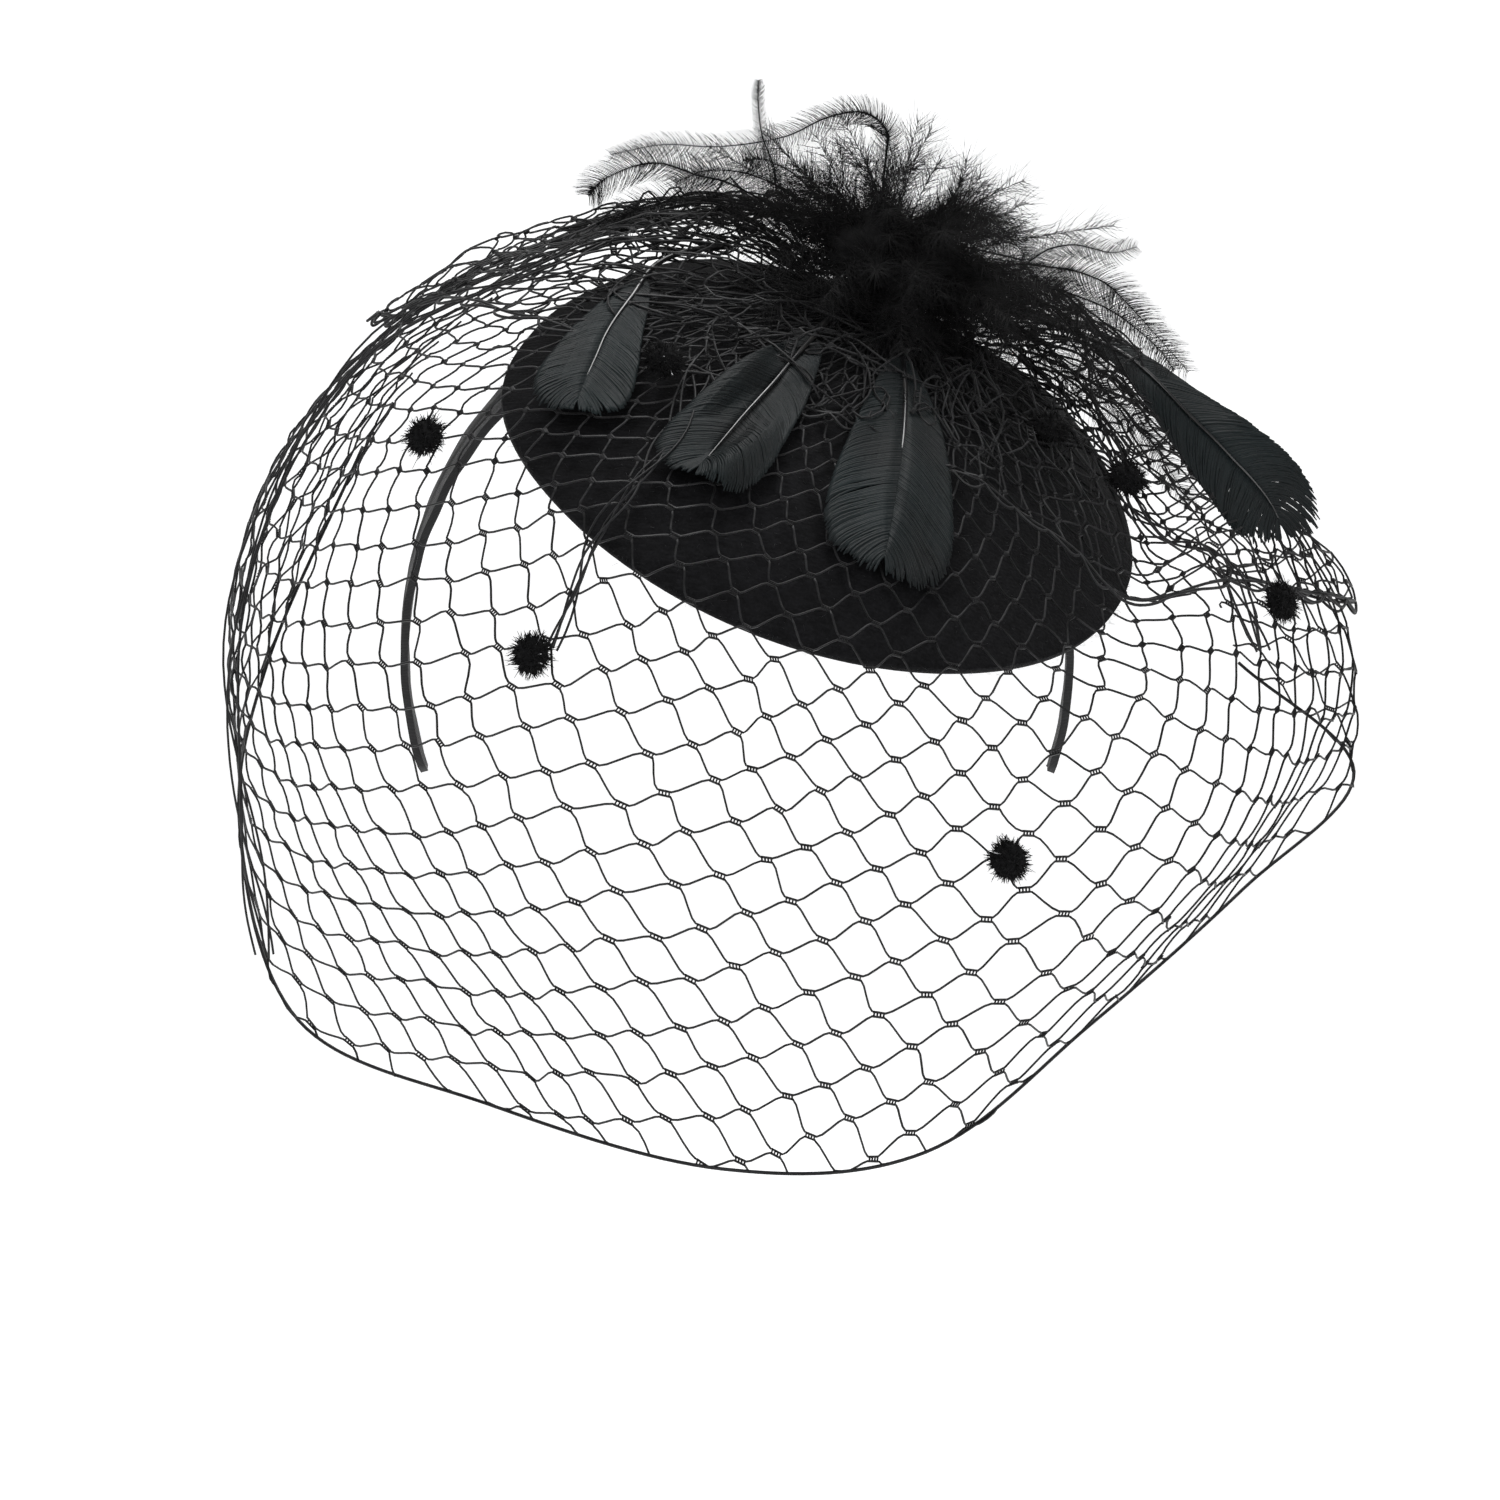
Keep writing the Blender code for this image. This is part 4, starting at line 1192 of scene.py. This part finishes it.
            def place(places: Array, sag: Array) -> tuple[Array, Array]:
                """Places in the crumpled net."""
                x, y = places[..., 0] * self.ruffle_scale, places[..., 1] * self.ruffle_scale
                turn = np.arctan2(y, x) / math.tau + 0.5
                wander = np.stack([x, y], axis=-1)
                around = turn + 0.035 * ripple(wander, 0.030, 30 + layer)
                down = np.hypot(x, y) / self.ruffle_depth + 0.045 * ripple(wander, 0.024, 40 + layer)
                least = smooth(self.ruffle_hem, around) * (1 - 0.3 * layer)
                on = (around > 0) & (around < 1) & (down > 0.0) & (down < least)
                bulk = np.clip(down * 9, 0.2, 1) * np.clip((least - down) * 9 + 0.25, 0.25, 1)
                rough = 0.5 + 0.5 * ripple(wander, 0.016, 50 + layer)
                lift = 0.0012 + (self.ruffle_height * np.clip(rough, 0.05, 1.1)) * bulk
                return self.shape.at(around, np.clip(down, 0.0, 1), lift + sag), on

            self.netting.lay(strands, place, self.ruffle_laid, aim, SEED + 8 + layer)
        return finish_piece(strands.piece("veil_ruffle", material), Slot.NET)

    def _folds(self, material: bpy.types.Material) -> bpy.types.Object:
        """Strands drawn together where the net folds, and the stitched gather."""
        strands = Strands()
        rng = np.random.default_rng(SEED + 5)
        t = np.linspace(0, 1, 60)
        for spread, count, places in self.folds:
            route = smooth(places, t)
            line = self.shape.at(route[:, 0], route[:, 1], 0.0)
            above = self.shape.at(route[:, 0], route[:, 1], 0.001)
            out = unit(above - line)
            side = np.cross(out, unit(np.gradient(line, axis=0)))
            for number in range(count):
                waves = [ripple(t[:, None], 0.6, 60 + 7 * number + k) for k in range(2)]
                offset = spread * (waves[0][:, None] * side + 0.35 * (1.2 + waves[1])[:, None] * out)
                strands.add((line + offset)[None], self.netting.strand * 0.9, 4)
        hat = self.shape.hat
        turn = np.linspace(0, math.tau, 90)
        for number in range(self.gather_threads):
            wander = ripple(np.stack([np.cos(turn), np.sin(turn)], -1), 0.9, 80 + number)
            radius = self.shape.ring_radius * rng.uniform(0.55, 1.15) + 0.0012 * wander
            side = hat.mount[0] + radius * np.cos(turn)
            back = hat.mount[1] + radius * np.sin(turn)
            height = hat.felt_height(side, back) + 0.0016 + 0.0022 * (1 + wander)
            strands.add(hat.point(side, back, height)[None], self.netting.strand, 4)
        return finish_piece(strands.piece("veil_folds", material), Slot.NET)


@dataclass(frozen=True)
class Dot:
    """One dot's place on the veil."""

    name: str
    around: float
    down: float


@dataclass
class ChenilleDots:
    """Ragged chenille dots, sewn on the net, with pale metallic specks in some of them: shiny threads
    that stand for painted glints.
    """

    veil: VeilShape = field(default_factory=VeilShape)
    width: float = 0.0112
    depth: float = 0.0078
    seat: float = 0.00095
    pile: float = 0.0021
    fibres: int = 760
    fibre: float = 0.00013
    specks: int = 3
    dots: tuple = (
        Dot("temple", 0.395, 0.437),
        Dot("brow", 0.453, 0.580),
        Dot("cheek", 0.605, 0.710),
        Dot("side", 0.782, 0.603),
        Dot("rim", 0.792, 0.330),
        Dot("crown", 0.427, 0.262),
        Dot("hat_edge", 0.752, 0.230),
    )

    def build(self) -> list[bpy.types.Object]:
        """Model each dot, and the painted glint specks in all of them as one piece."""
        material = PileFinish().material()
        # Pale metallic specks: painted glints on the dots.
        silver = PileFinish("silver_painted_glints", (0.35, 0.35, 0.36), (0.6, 0.6, 0.62), 0.8, 0.35)
        lint_and_glints = Strands()
        pieces = [self._dot(dot, number, material, lint_and_glints) for number, dot in enumerate(self.dots)]
        glints = lint_and_glints.piece("dot_painted_glints", silver.material())
        return pieces + [finish_piece(glints, Slot.CHENILLE)]

    def _dot(
        self, dot: Dot, number: int, material: bpy.types.Material, lint_and_glints: Strands
    ) -> bpy.types.Object:
        """A lumpy core under a coat of short fibres."""
        rng = np.random.default_rng(SEED + number)
        place = np.array(dot.around), np.array(dot.down)
        seat, above = self.veil.at(*place), self.veil.at(*place, 0.001)
        out = unit(above - seat)
        centre = seat + out * (self.seat + self.depth / 2)
        deselect_all()
        bpy.ops.mesh.primitive_ico_sphere_add(subdivisions=4, radius=1.0)
        core = bpy.context.object
        core.name = core.data.name = f"dot_{dot.name}_pile"
        around = coordinates(core.data)
        core_size = self.width / 2 - self.pile * 0.72
        clumps = 1 + 0.09 * ripple(around, 0.7, number) + 0.05 * ripple(around, 0.3, number + 9)
        reshape(core.data, self._placed(around * clumps[:, None] * core_size, centre, out))
        core.data.materials.append(material)
        core.data.shade_smooth()

        heading = unit(rng.normal(size=(self.fibres, 3)))
        clumps = 1 + 0.09 * ripple(heading, 0.7, number)
        start = heading * (core_size * 0.9 * clumps)[:, None]
        tuft = heading + 0.45 * np.stack([ripple(heading, 0.35, 60 + k) for k in range(3)], -1)
        lean = unit(tuft + rng.normal(0, 0.14, heading.shape))
        length = self.pile * rng.uniform(0.55, 1.1, self.fibres) * (1 + 0.35 * ripple(heading, 0.4, 5))
        t = np.linspace(0, 1, 3)[None, :, None]
        curl = rng.normal(0, 0.25, heading.shape)
        lines = start[:, None] + length[:, None, None] * (lean[:, None] * t + curl[:, None] * t**2)
        lines = self._placed(lines, centre, out)
        strands = Strands()
        strands.add(lines, self.fibre * np.array([1.0, 0.9, 0.45]), 3)
        coat = strands.piece("coat", material)
        # The first fibres get pale metallic specks, which are painted glints.
        lint_and_glints.ribbons(
            lines[: self.specks] + out * 0.0002,
            rng.normal(size=(self.specks, 1, 3)),
            0.00014,
            0.00004,
        )
        deselect_all()
        coat.select_set(True)
        core.select_set(True)
        bpy.context.view_layer.objects.active = core
        bpy.ops.object.join()
        return finish_piece(core, Slot.CHENILLE, f"dot_{dot.name}")

    def _placed(self, round_places: Array, centre: Array, out: Array) -> Array:
        """Round places, flattened along the net's normal and moved to the dot's centre."""
        squash = (1 - self.depth / self.width) * (round_places @ out)[..., None] * out
        return centre + round_places - squash


@dataclass(frozen=True)
class Cut:
    """One paddle feather: its size and its way over the net, as shares round and down."""

    name: str
    width: float
    quill_share: float
    places: tuple
    crease: float
    splits: tuple
    fringe: float
    twist: float = 0.0


@dataclass
class PaddleFeathers:
    """Trimmed feathers on stripped quills: each vane is a row of barbs on both sides."""

    veil: VeilShape = field(default_factory=VeilShape)
    lie: float = 0.00195
    thickness: float = 0.00009
    barb_pitch: float = 0.00033
    stations: int = 8
    camber: float = 0.0016
    quill: float = 0.00085
    twist_lift: float = 0.36
    outline: tuple = (
        (0.00, 0.05), (0.10, 0.30), (0.33, 0.62), (0.58, 0.90), (0.80, 1.06),
        (0.92, 0.98), (0.98, 0.66), (1.00, 0.04),
    )
    cuts: tuple = (
        Cut(
            "right", 0.024, 0.34,
            ((0.965, 0.14), (0.925, 0.21), (0.897, 0.30), (0.838, 0.46), (0.808, 0.56)),
            0.0, (0.70, 0.84, 0.92), 0.0010, math.radians(36),
        ),
        Cut(
            "left", 0.022, 0.40,
            ((0.200, 0.110), (0.260, 0.150), (0.340, 0.200), (0.395, 0.275), (0.427, 0.360)),
            0.0005, (0.60, 0.90), 0.0006,
        ),
        Cut(
            "front", 0.025, 0.22,
            ((0.430, 0.045), (0.455, 0.100), (0.470, 0.190), (0.475, 0.290), (0.477, 0.377)),
            0.0022, (0.45, 0.80, 0.92), 0.0007,
        ),
        Cut(
            "centre", 0.031, 0.14,
            ((0.573, 0.030), (0.572, 0.110), (0.567, 0.210), (0.562, 0.320), (0.560, 0.423)),
            0.0008, (0.55, 0.72, 0.84, 0.93), 0.0009,
        ),
    )

    def build(self) -> list[bpy.types.Object]:
        """Model each feather's vane and quill."""
        vane, quill = VaneFinish().material(), QuillFinish().material()
        pieces = []
        for number, cut in enumerate(self.cuts):
            pieces += self._feather(cut, number, vane, quill)
        return pieces

    def _feather(
        self, cut: Cut, number: int, vane: bpy.types.Material, quill: bpy.types.Material
    ) -> list[bpy.types.Object]:
        """One feather's two pieces."""
        shares = np.linspace(0, 1, 61)
        route = smooth(cut.places, shares)
        line = self.veil.at(route[:, 0], route[:, 1], self.lie)
        out = unit(line - self.veil.at(route[:, 0], route[:, 1], 0.0))
        ahead = unit(np.gradient(line, axis=0))
        wide = unit(np.cross(out, ahead))
        length = np.linalg.norm(np.diff(line, axis=0), axis=1).sum() * (1 - cut.quill_share)
        turn = cut.twist * np.clip((shares - cut.quill_share) * 3, 0, 1) * np.sign(wide[:, 1])
        facing = np.cos(turn)[:, None] * out - np.sin(turn)[:, None] * wide
        wide = np.cos(turn)[:, None] * wide + np.sin(turn)[:, None] * out
        line = line + out * (np.abs(np.sin(turn)) * cut.width * self.twist_lift)[:, None]
        out = facing
        frame = np.concatenate([line, wide, out], axis=1)
        strands = Strands()
        for side in (-1, 1):
            self._half_vane(strands, cut, number, side, frame, length)
        piece = finish_piece(
            strands.piece(f"paddle_{cut.name}_vane", vane), Slot.PADDLE, f"paddle_{cut.name}"
        )
        stem = Strands()
        radius = self.quill * np.interp(shares, [0, cut.quill_share, 0.9, 1], [1.0, 0.8, 0.25, 0.1])
        keep = shares < 0.955
        stem.add((line + out * radius[:, None] * 0.5)[keep][None], radius[keep][None], 8)
        stalk = finish_piece(stem.piece(f"paddle_{cut.name}_quill", quill), Slot.PADDLE)
        return [piece, stalk]

    def _half_vane(
        self, strands: Strands, cut: Cut, number: int, side: int, frame: Array, length: float
    ) -> None:
        """The barbs on one side of a quill, parted at the splits and frayed at the tip."""
        rng = np.random.default_rng(SEED + 10 * number + side)
        fine = smooth(self.outline, np.linspace(0, 1, 300))
        steps = np.diff(fine * (length, cut.width / 2), axis=0)
        arc = np.concatenate([[0.0], np.cumsum(np.hypot(steps[:, 0], steps[:, 1]))])
        count = int(1.15 * arc[-1] / self.barb_pitch)
        place = np.linspace(0.03, 0.998, count)
        edges = np.array([0.0, *np.array(cut.splits) + 0.012 * side, 1.0])
        web = np.clip(np.searchsorted(edges, place) - 1, 0, len(edges) - 2)
        middle = (edges[web] + edges[web + 1]) / 2
        parted = (middle + (place - middle) * (1 - 0.06 * (web > 0))) * arc[-1]
        half = np.interp(parted, arc, fine[:, 1]) * cut.width / 2
        fray = 1 + cut.fringe / length * rng.uniform(-1, 1, count) * (1 + 1.5 * (place > 0.7))
        tip = np.minimum(np.interp(parted, arc, fine[:, 0]) * fray, 1.0 + cut.fringe / length)
        half = half * (1 + cut.fringe / cut.width * rng.uniform(-0.6, 0.3, count))
        root = np.clip(0.95 * place - 0.06 * np.sin(math.pi * place), 0.0, 0.95)
        t = np.linspace(0, 1, self.stations)
        along = root[:, None] + (tip - root)[:, None] * t**1.25
        across = half[:, None] * (1 - (1 - t) ** 1.35)
        spot = cut.quill_share + (1 - cut.quill_share) * along
        table = smooth(frame, np.clip(spot, 0, 1))
        over = np.maximum(spot - 1, 0)[..., None] * length
        ahead = unit(frame[-1, :3] - frame[-2, :3])
        centre, wide, out = table[..., :3] + over * ahead, table[..., 3:6], table[..., 6:]
        edge = (across / (cut.width / 2)) ** 2
        lift = -self.camber * edge + cut.crease * ripple(
            np.stack([along, side * across / cut.width], axis=-1), 0.8, 20 + number
        )
        lift = np.maximum(lift, -0.0006) + rng.normal(0, 0.00004, (count, 1))
        lines = centre + side * across[..., None] * wide + lift[..., None] * out
        flat = np.cross(out, unit(np.gradient(lines, axis=1)))
        breadth = self.barb_pitch * 1.05 * np.interp(t, [0, 0.85, 1], [0.8, 1.0, 0.45])
        strands.ribbons(lines, flat, breadth[None], self.thickness)


@dataclass(frozen=True)
class Frond:
    """One curled frond: its barbs and its way from the plume's foot, in millimetres."""

    name: str
    barb: float
    pitch: float
    places: tuple


@dataclass
class Plume:
    """The plume: a dense head of down, short plumes round it, and long curled fronds."""

    hat: HatShape = field(default_factory=HatShape)
    seat_gap: float = 0.0003
    head_lift: float = 0.015
    head_size: tuple = (0.040, 0.030, 0.020)
    short_plumes: int = 140
    short_length: tuple = (0.016, 0.036)
    short_root: float = 0.006
    felt_room: float = 0.0045
    fluff: float = 0.0095
    fluff_pitch: float = 0.00044
    barb_radius: float = 0.000085
    fronds: tuple = (
        Frond("loop", 4.8, 0.24, (
            (0, 0, 14), (3, 0, 39), (3, -2, 47), (-3, -4, 51), (-12, -5, 49.5), (-23, -6, 44.5),
            (-39, -8, 42), (-53, -8, 42.5), (-66, -8, 40))),
        Frond("upright", 2.4, 0.27, (
            (-8, 2, 14), (-23, 4, 30), (-25, 5, 38), (-28, 5, 46), (-29, 5, 54), (-29, 5, 60))),
        Frond("left", 6.4, 0.24, (
            (-8, 4, 18), (-34, 6, 33), (-44, 6, 36), (-53, 6, 39), (-60, 6, 38.5), (-68, 6, 35),
            (-72, 6, 31))),
        Frond("left_low", 6.4, 0.26, (
            (-8, -4, 16), (-30, -5, 27), (-45, -5, 29), (-58, -5, 27), (-66, -6, 22))),
        Frond("left_fan", 6.4, 0.26, (
            (-6, 0, 16), (-20, 2, 30), (-31, 3, 36), (-42, 3, 37), (-50, 3, 34))),
        Frond("arch", 6.4, 0.26, (
            (3, 2, 12), (9, 4, 21), (16, 6, 25), (23, 6, 26), (29, 6, 25), (34, 6, 21),
            (39, 6, 15))),
        Frond("arch_back", 6.4, 0.29, (
            (5, 6, 12), (14, 12, 23), (24, 16, 28), (33, 18, 24))),
        Frond("curl", 4.6, 0.27, (
            (20, 6, 9), (36, 10, 12), (40, 11, 15), (45, 12, 18), (51, 12, 19), (56, 12, 18),
            (61, 12, 17), (67, 12, 18.5))),
        Frond("thick", 6.0, 0.24, (
            (8, 0, 12), (21, -3, 12), (34, -5, 9.5), (47, -8, 7))),
        Frond("thick_low", 6.0, 0.24, (
            (8, -2, 9), (22, -6, 8), (35, -9, 6), (48, -11, 4))),
        Frond("droop", 6.4, 0.24, (
            (20, 0, 12), (36, -2, 13), (45, -4, 12), (51, -4, 11), (58, -5, 8), (63, -8, 3),
            (69, -12, -4), (78, -18, -15))),
        Frond("inner", 6.4, 0.27, (
            (20, -2, 10), (40, -4, 8), (50, -6, 5), (58, -9, 1.5), (64, -14, -3), (70, -20, -9),
            (74, -25, -15))),
        Frond("long", 6.1, 0.24, (
            (18, -4, 10), (36, -8, 8), (47, -12, 5), (54, -18, -3), (59, -25, -11),
            (64, -30, -25), (69, -34, -35), (77, -38, -48))),
        Frond("long_inner", 5.6, 0.29, (
            (16, -5, 9), (34, -10, 5), (44, -15, 1), (51, -21, -8), (56, -28, -18),
            (60, -33, -30))),
        Frond("back", 6.4, 0.29, (
            (0, 8, 14), (3, 20, 27), (1, 32, 30), (0, 40, 23))),
        Frond("back_left", 6.4, 0.29, (
            (-6, 6, 16), (-16, 20, 34), (-26, 31, 42), (-33, 38, 43))),
        Frond("back_right", 6.4, 0.29, (
            (6, 8, 12), (22, 22, 24), (36, 33, 22))),
    )

    def build(self) -> list[bpy.types.Object]:
        """Model the head, the down round it and the fronds."""
        material = DownFinish().material()
        return [self._head(material), *self._down(material), *self._fronds(material)]

    @cached_property
    def frame(self) -> tuple[Array, Array, Array, Array]:
        """The foot's place, and directions across, back and up there."""
        spot = self.hat.mount
        up = self.hat.felt_normal(*spot)
        across = unit(self.hat.axes[0] - up * (self.hat.axes[0] @ up))
        height = self.hat.felt_height(spot[0], spot[1])
        foot = self.hat.point(spot[0], spot[1], height) + up * self.seat_gap
        return foot, across, np.cross(up, across), up

    def _head(self, material: bpy.types.Material) -> bpy.types.Object:
        """The dense middle: a lumpy ball that narrows to the foot."""
        foot, across, back, up = self.frame
        deselect_all()
        bpy.ops.mesh.primitive_ico_sphere_add(subdivisions=5, radius=0.5)
        head = bpy.context.object
        head.name = head.data.name = "plume_head"
        around = coordinates(head.data)
        lumps = 1 + 0.10 * ripple(around, 0.5, 3) + 0.03 * ripple(around, 0.2, 4)
        local = around * lumps[:, None] * self.head_size
        below = np.clip(-local[:, 2] / (self.head_size[2] / 2), 0, 1)[:, None]
        local[:, :2] *= 1 - 0.55 * below**2
        local[:, 2] = np.maximum(local[:, 2], -self.head_lift + 0.0002)
        places = foot + up * self.head_lift + local @ np.array([across, back, up])
        reshape(head.data, places)
        head.data.materials.append(material)
        head.data.shade_smooth()
        return finish_piece(head, Slot.PLUME, "plume")

    def _barbs(
        self,
        strands: Strands,
        line: Array,
        barb: float,
        pitch: float,
        rng: np.random.Generator,
        roundness: float,
        stations: int = 4,
    ) -> None:
        """Barbs along a rachis.

        Args:
            strands: Where the tubes go.
            line: The rachis's points.
            barb: Longest barb.
            pitch: Distance between barbs on one side.
            rng: Source of the irregularities.
            roundness: 0 keeps the barbs in two rows, 1 sets them all round.
            stations: Points on each barb.
        """
        steps = np.linalg.norm(np.diff(line, axis=0), axis=1)
        along = np.concatenate([[0], np.cumsum(steps)])
        count = max(int(along[-1] / pitch), 2) * 2
        place = np.clip((np.arange(count) + rng.uniform(-0.6, 0.6, count)) / count, 0, 1)
        base = smooth(line, place)
        ahead = unit(smooth(line, np.minimum(place + 0.02, 1)) - smooth(line, place - 0.02))
        facing = np.array([0.0, 1.0, 0.0])
        side = unit(np.cross(ahead, facing) + 1e-6)
        depth = np.cross(side, ahead)
        turn = (np.arange(count) % 2) * math.pi
        turn = turn + rng.normal(0, 0.22 + 2.0 * roundness, count)
        aside = np.cos(turn)[:, None] * side + np.sin(turn)[:, None] * depth
        lean = rng.normal(1.12 - 0.2 * roundness, 0.06 + 0.12 * roundness, count)[:, None]
        heading = np.cos(lean) * ahead + np.sin(lean) * aside
        profile = np.interp(place, [0, 0.15, 0.6, 0.9, 1.0], [0.7, 1.0, 1.0, 0.85, 0.4])
        length = barb * profile * rng.uniform(0.82 - 0.15 * roundness, 1.06, count)
        stray = rng.normal(0, 0.045 + 0.09 * roundness, (count, 3))
        curl = 0.32 * ahead + stray - np.array([0, 0, 0.10 * roundness])
        t = np.linspace(0, 1, stations)[None, :, None]
        lines = base[:, None] + length[:, None, None] * (heading[:, None] * t + curl[:, None] * t**2)
        taper = np.linspace(1.0, 0.28, stations)
        strands.add(lines, self.barb_radius * taper, 3)

    def _down(self, material: bpy.types.Material) -> list[bpy.types.Object]:
        """Short plumes all round the head, in two pieces."""
        foot, across, back, up = self.frame
        rng = np.random.default_rng(SEED + 2)
        centre = foot + up * self.head_lift
        halves = (Strands(), Strands())
        for number in range(self.short_plumes):
            share = (number + 0.5) / self.short_plumes
            turn = number * math.pi * (3 - math.sqrt(5))
            rise = 1.0 - 1.42 * share
            flat = math.sqrt(max(1 - rise * rise, 0.05))
            heading = across * math.cos(turn) * flat * 1.2 + back * math.sin(turn) * flat + up * rise
            heading = unit(heading + rng.normal(0, 0.15, 3))
            start = centre + heading * self.short_root
            length = rng.uniform(*self.short_length) * (1.0 if rise > -0.05 else 0.7)
            length *= 1 + 0.55 * abs(heading @ across) ** 3
            t = np.linspace(0, 1, 9)[:, None]
            bend = unit(rng.normal(size=3)) * 0.35 - np.array([0, 0, 0.22])
            line = start + length * (heading * t + bend * t**2)
            line = self._clear(line)
            strands = halves[int(line[-1, 0] > centre[0])]
            self._barbs(strands, line, self.fluff, self.fluff_pitch, rng, 1.0, 3)
            strands.add(line[None], np.linspace(0.00016, 0.00005, len(line))[None], 4)
        names = ("plume_down_right", "plume_down_left")
        return [
            finish_piece(half.piece(name, material), Slot.PLUME)
            for name, half in zip(names, halves)
        ]

    def _clear(self, line: Array) -> Array:
        """The line, held a little above the felt."""
        side, back, height = self.hat.local(line)
        least = self.hat.felt_height(side, back) + self.felt_room
        return self.hat.point(side, back, np.maximum(height, least))

    def _fronds(self, material: bpy.types.Material) -> list[bpy.types.Object]:
        """The long fronds, in two pieces."""
        foot = self.frame[0]
        rng = np.random.default_rng(SEED + 3)
        halves = (Strands(), Strands())
        for frond in self.fronds:
            places = np.array(frond.places) / 1000 + foot
            line = smooth(places, np.linspace(0, 1, 48))
            strands = halves[int(places[-1, 0] > foot[0])]
            self._barbs(strands, line, frond.barb / 1000, frond.pitch / 1000, rng, 0.0)
            strands.add(line[None], np.linspace(0.00032, 0.00008, len(line))[None], 5)
        names = ("plume_fronds_right", "plume_fronds_left")
        return [
            finish_piece(half.piece(name, material), Slot.PLUME)
            for name, half in zip(names, halves)
        ]


@dataclass(frozen=True)
class Studio:
    """The pale sweep, the soft lights and the camera."""

    floor: float = -0.30
    wall: float = 2.8
    wall_height: float = 2.5
    front: float = 3.0
    bend: float = 0.6
    half_width: float = 5.0
    world_strength: float = 0.14
    camera_place: tuple = (0.0033, -1.6, -0.113)
    focal_pixels: float = 6333.0
    frame_pixels: float = 1500.0
    sensor: float = 36.0

    def build(self) -> None:
        """Set up the floor, lights and camera."""
        self._sweep()
        self._light("key", (-0.9, -1.5, 1.1), 20.0, 0.9)
        self._light("fill", (1.3, -1.2, 0.3), 10.0, 1.0)
        self._light("top", (0.1, 0.2, 1.3), 15.0, 0.9)
        world = bpy.data.worlds.new("studio")
        bpy.context.scene.world = world
        world.use_nodes = True
        background = world.node_tree.nodes["Background"]
        background.inputs["Color"].default_value = (1.0, 1.0, 1.0, 1.0)
        background.inputs["Strength"].default_value = self.world_strength
        bpy.context.scene.view_settings.view_transform = "Standard"
        camera = bpy.data.objects.new("camera", bpy.data.cameras.new("camera"))
        camera.location = self.camera_place
        camera.rotation_euler = (math.pi / 2, 0, 0)
        camera.data.sensor_fit = "HORIZONTAL"
        camera.data.sensor_width = self.sensor
        camera.data.lens = self.focal_pixels / self.frame_pixels * self.sensor
        camera.data.clip_end = 20
        bpy.context.scene.collection.objects.link(camera)
        bpy.context.scene.camera = camera

    def _sweep(self) -> None:
        """One sheet that curves from the floor up to the wall behind."""
        deselect_all()
        bpy.ops.mesh.primitive_grid_add(x_subdivisions=2, y_subdivisions=60, size=2)
        paper = bpy.context.object
        paper.name = paper.data.name = "studio_sweep"
        flat = coordinates(paper.data)
        run = self.front + self.wall - self.bend
        arc = self.bend * math.pi / 2
        along = (flat[:, 1] + 1) / 2 * (run + arc + self.wall_height)
        turn = np.clip((along - run) / self.bend, 0, math.pi / 2)
        y = np.minimum(along, run) - self.front + self.bend * np.sin(turn)
        z = self.floor + self.bend * (1 - np.cos(turn)) + np.maximum(along - run - arc, 0)
        reshape(paper.data, np.stack([flat[:, 0] * self.half_width, y, z], axis=-1))
        paper.data.materials.append(PaperFinish().material())
        paper.data.shade_smooth()

    @staticmethod
    def _light(name: str, place: Sequence, power: float, size: float) -> None:
        """A square soft light that faces the object."""
        data = bpy.data.lights.new(name, "AREA")
        data.energy, data.size = power, size
        light = bpy.data.objects.new(name, data)
        light.location = place
        aim = np.array([0.0, 0.0, -0.08]) - np.array(place)
        light.rotation_euler = (
            math.pi / 2 - math.atan2(-aim[2], math.hypot(aim[0], aim[1])),
            0.0,
            math.atan2(aim[1], aim[0]) - math.pi / 2,
        )
        bpy.context.scene.collection.objects.link(light)


def main() -> None:
    """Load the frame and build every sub-assembly round it."""
    logging.basicConfig(level=logging.INFO, format="%(message)s")
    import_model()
    assemblies = (Headband(), FeltHat(), Veil(), ChenilleDots(), PaddleFeathers(), Plume())
    for assembly in assemblies:
        for piece in assembly.build():
            LOG.info("built %s", piece.name)
    Studio().build()


if __name__ == "__main__":
    main()
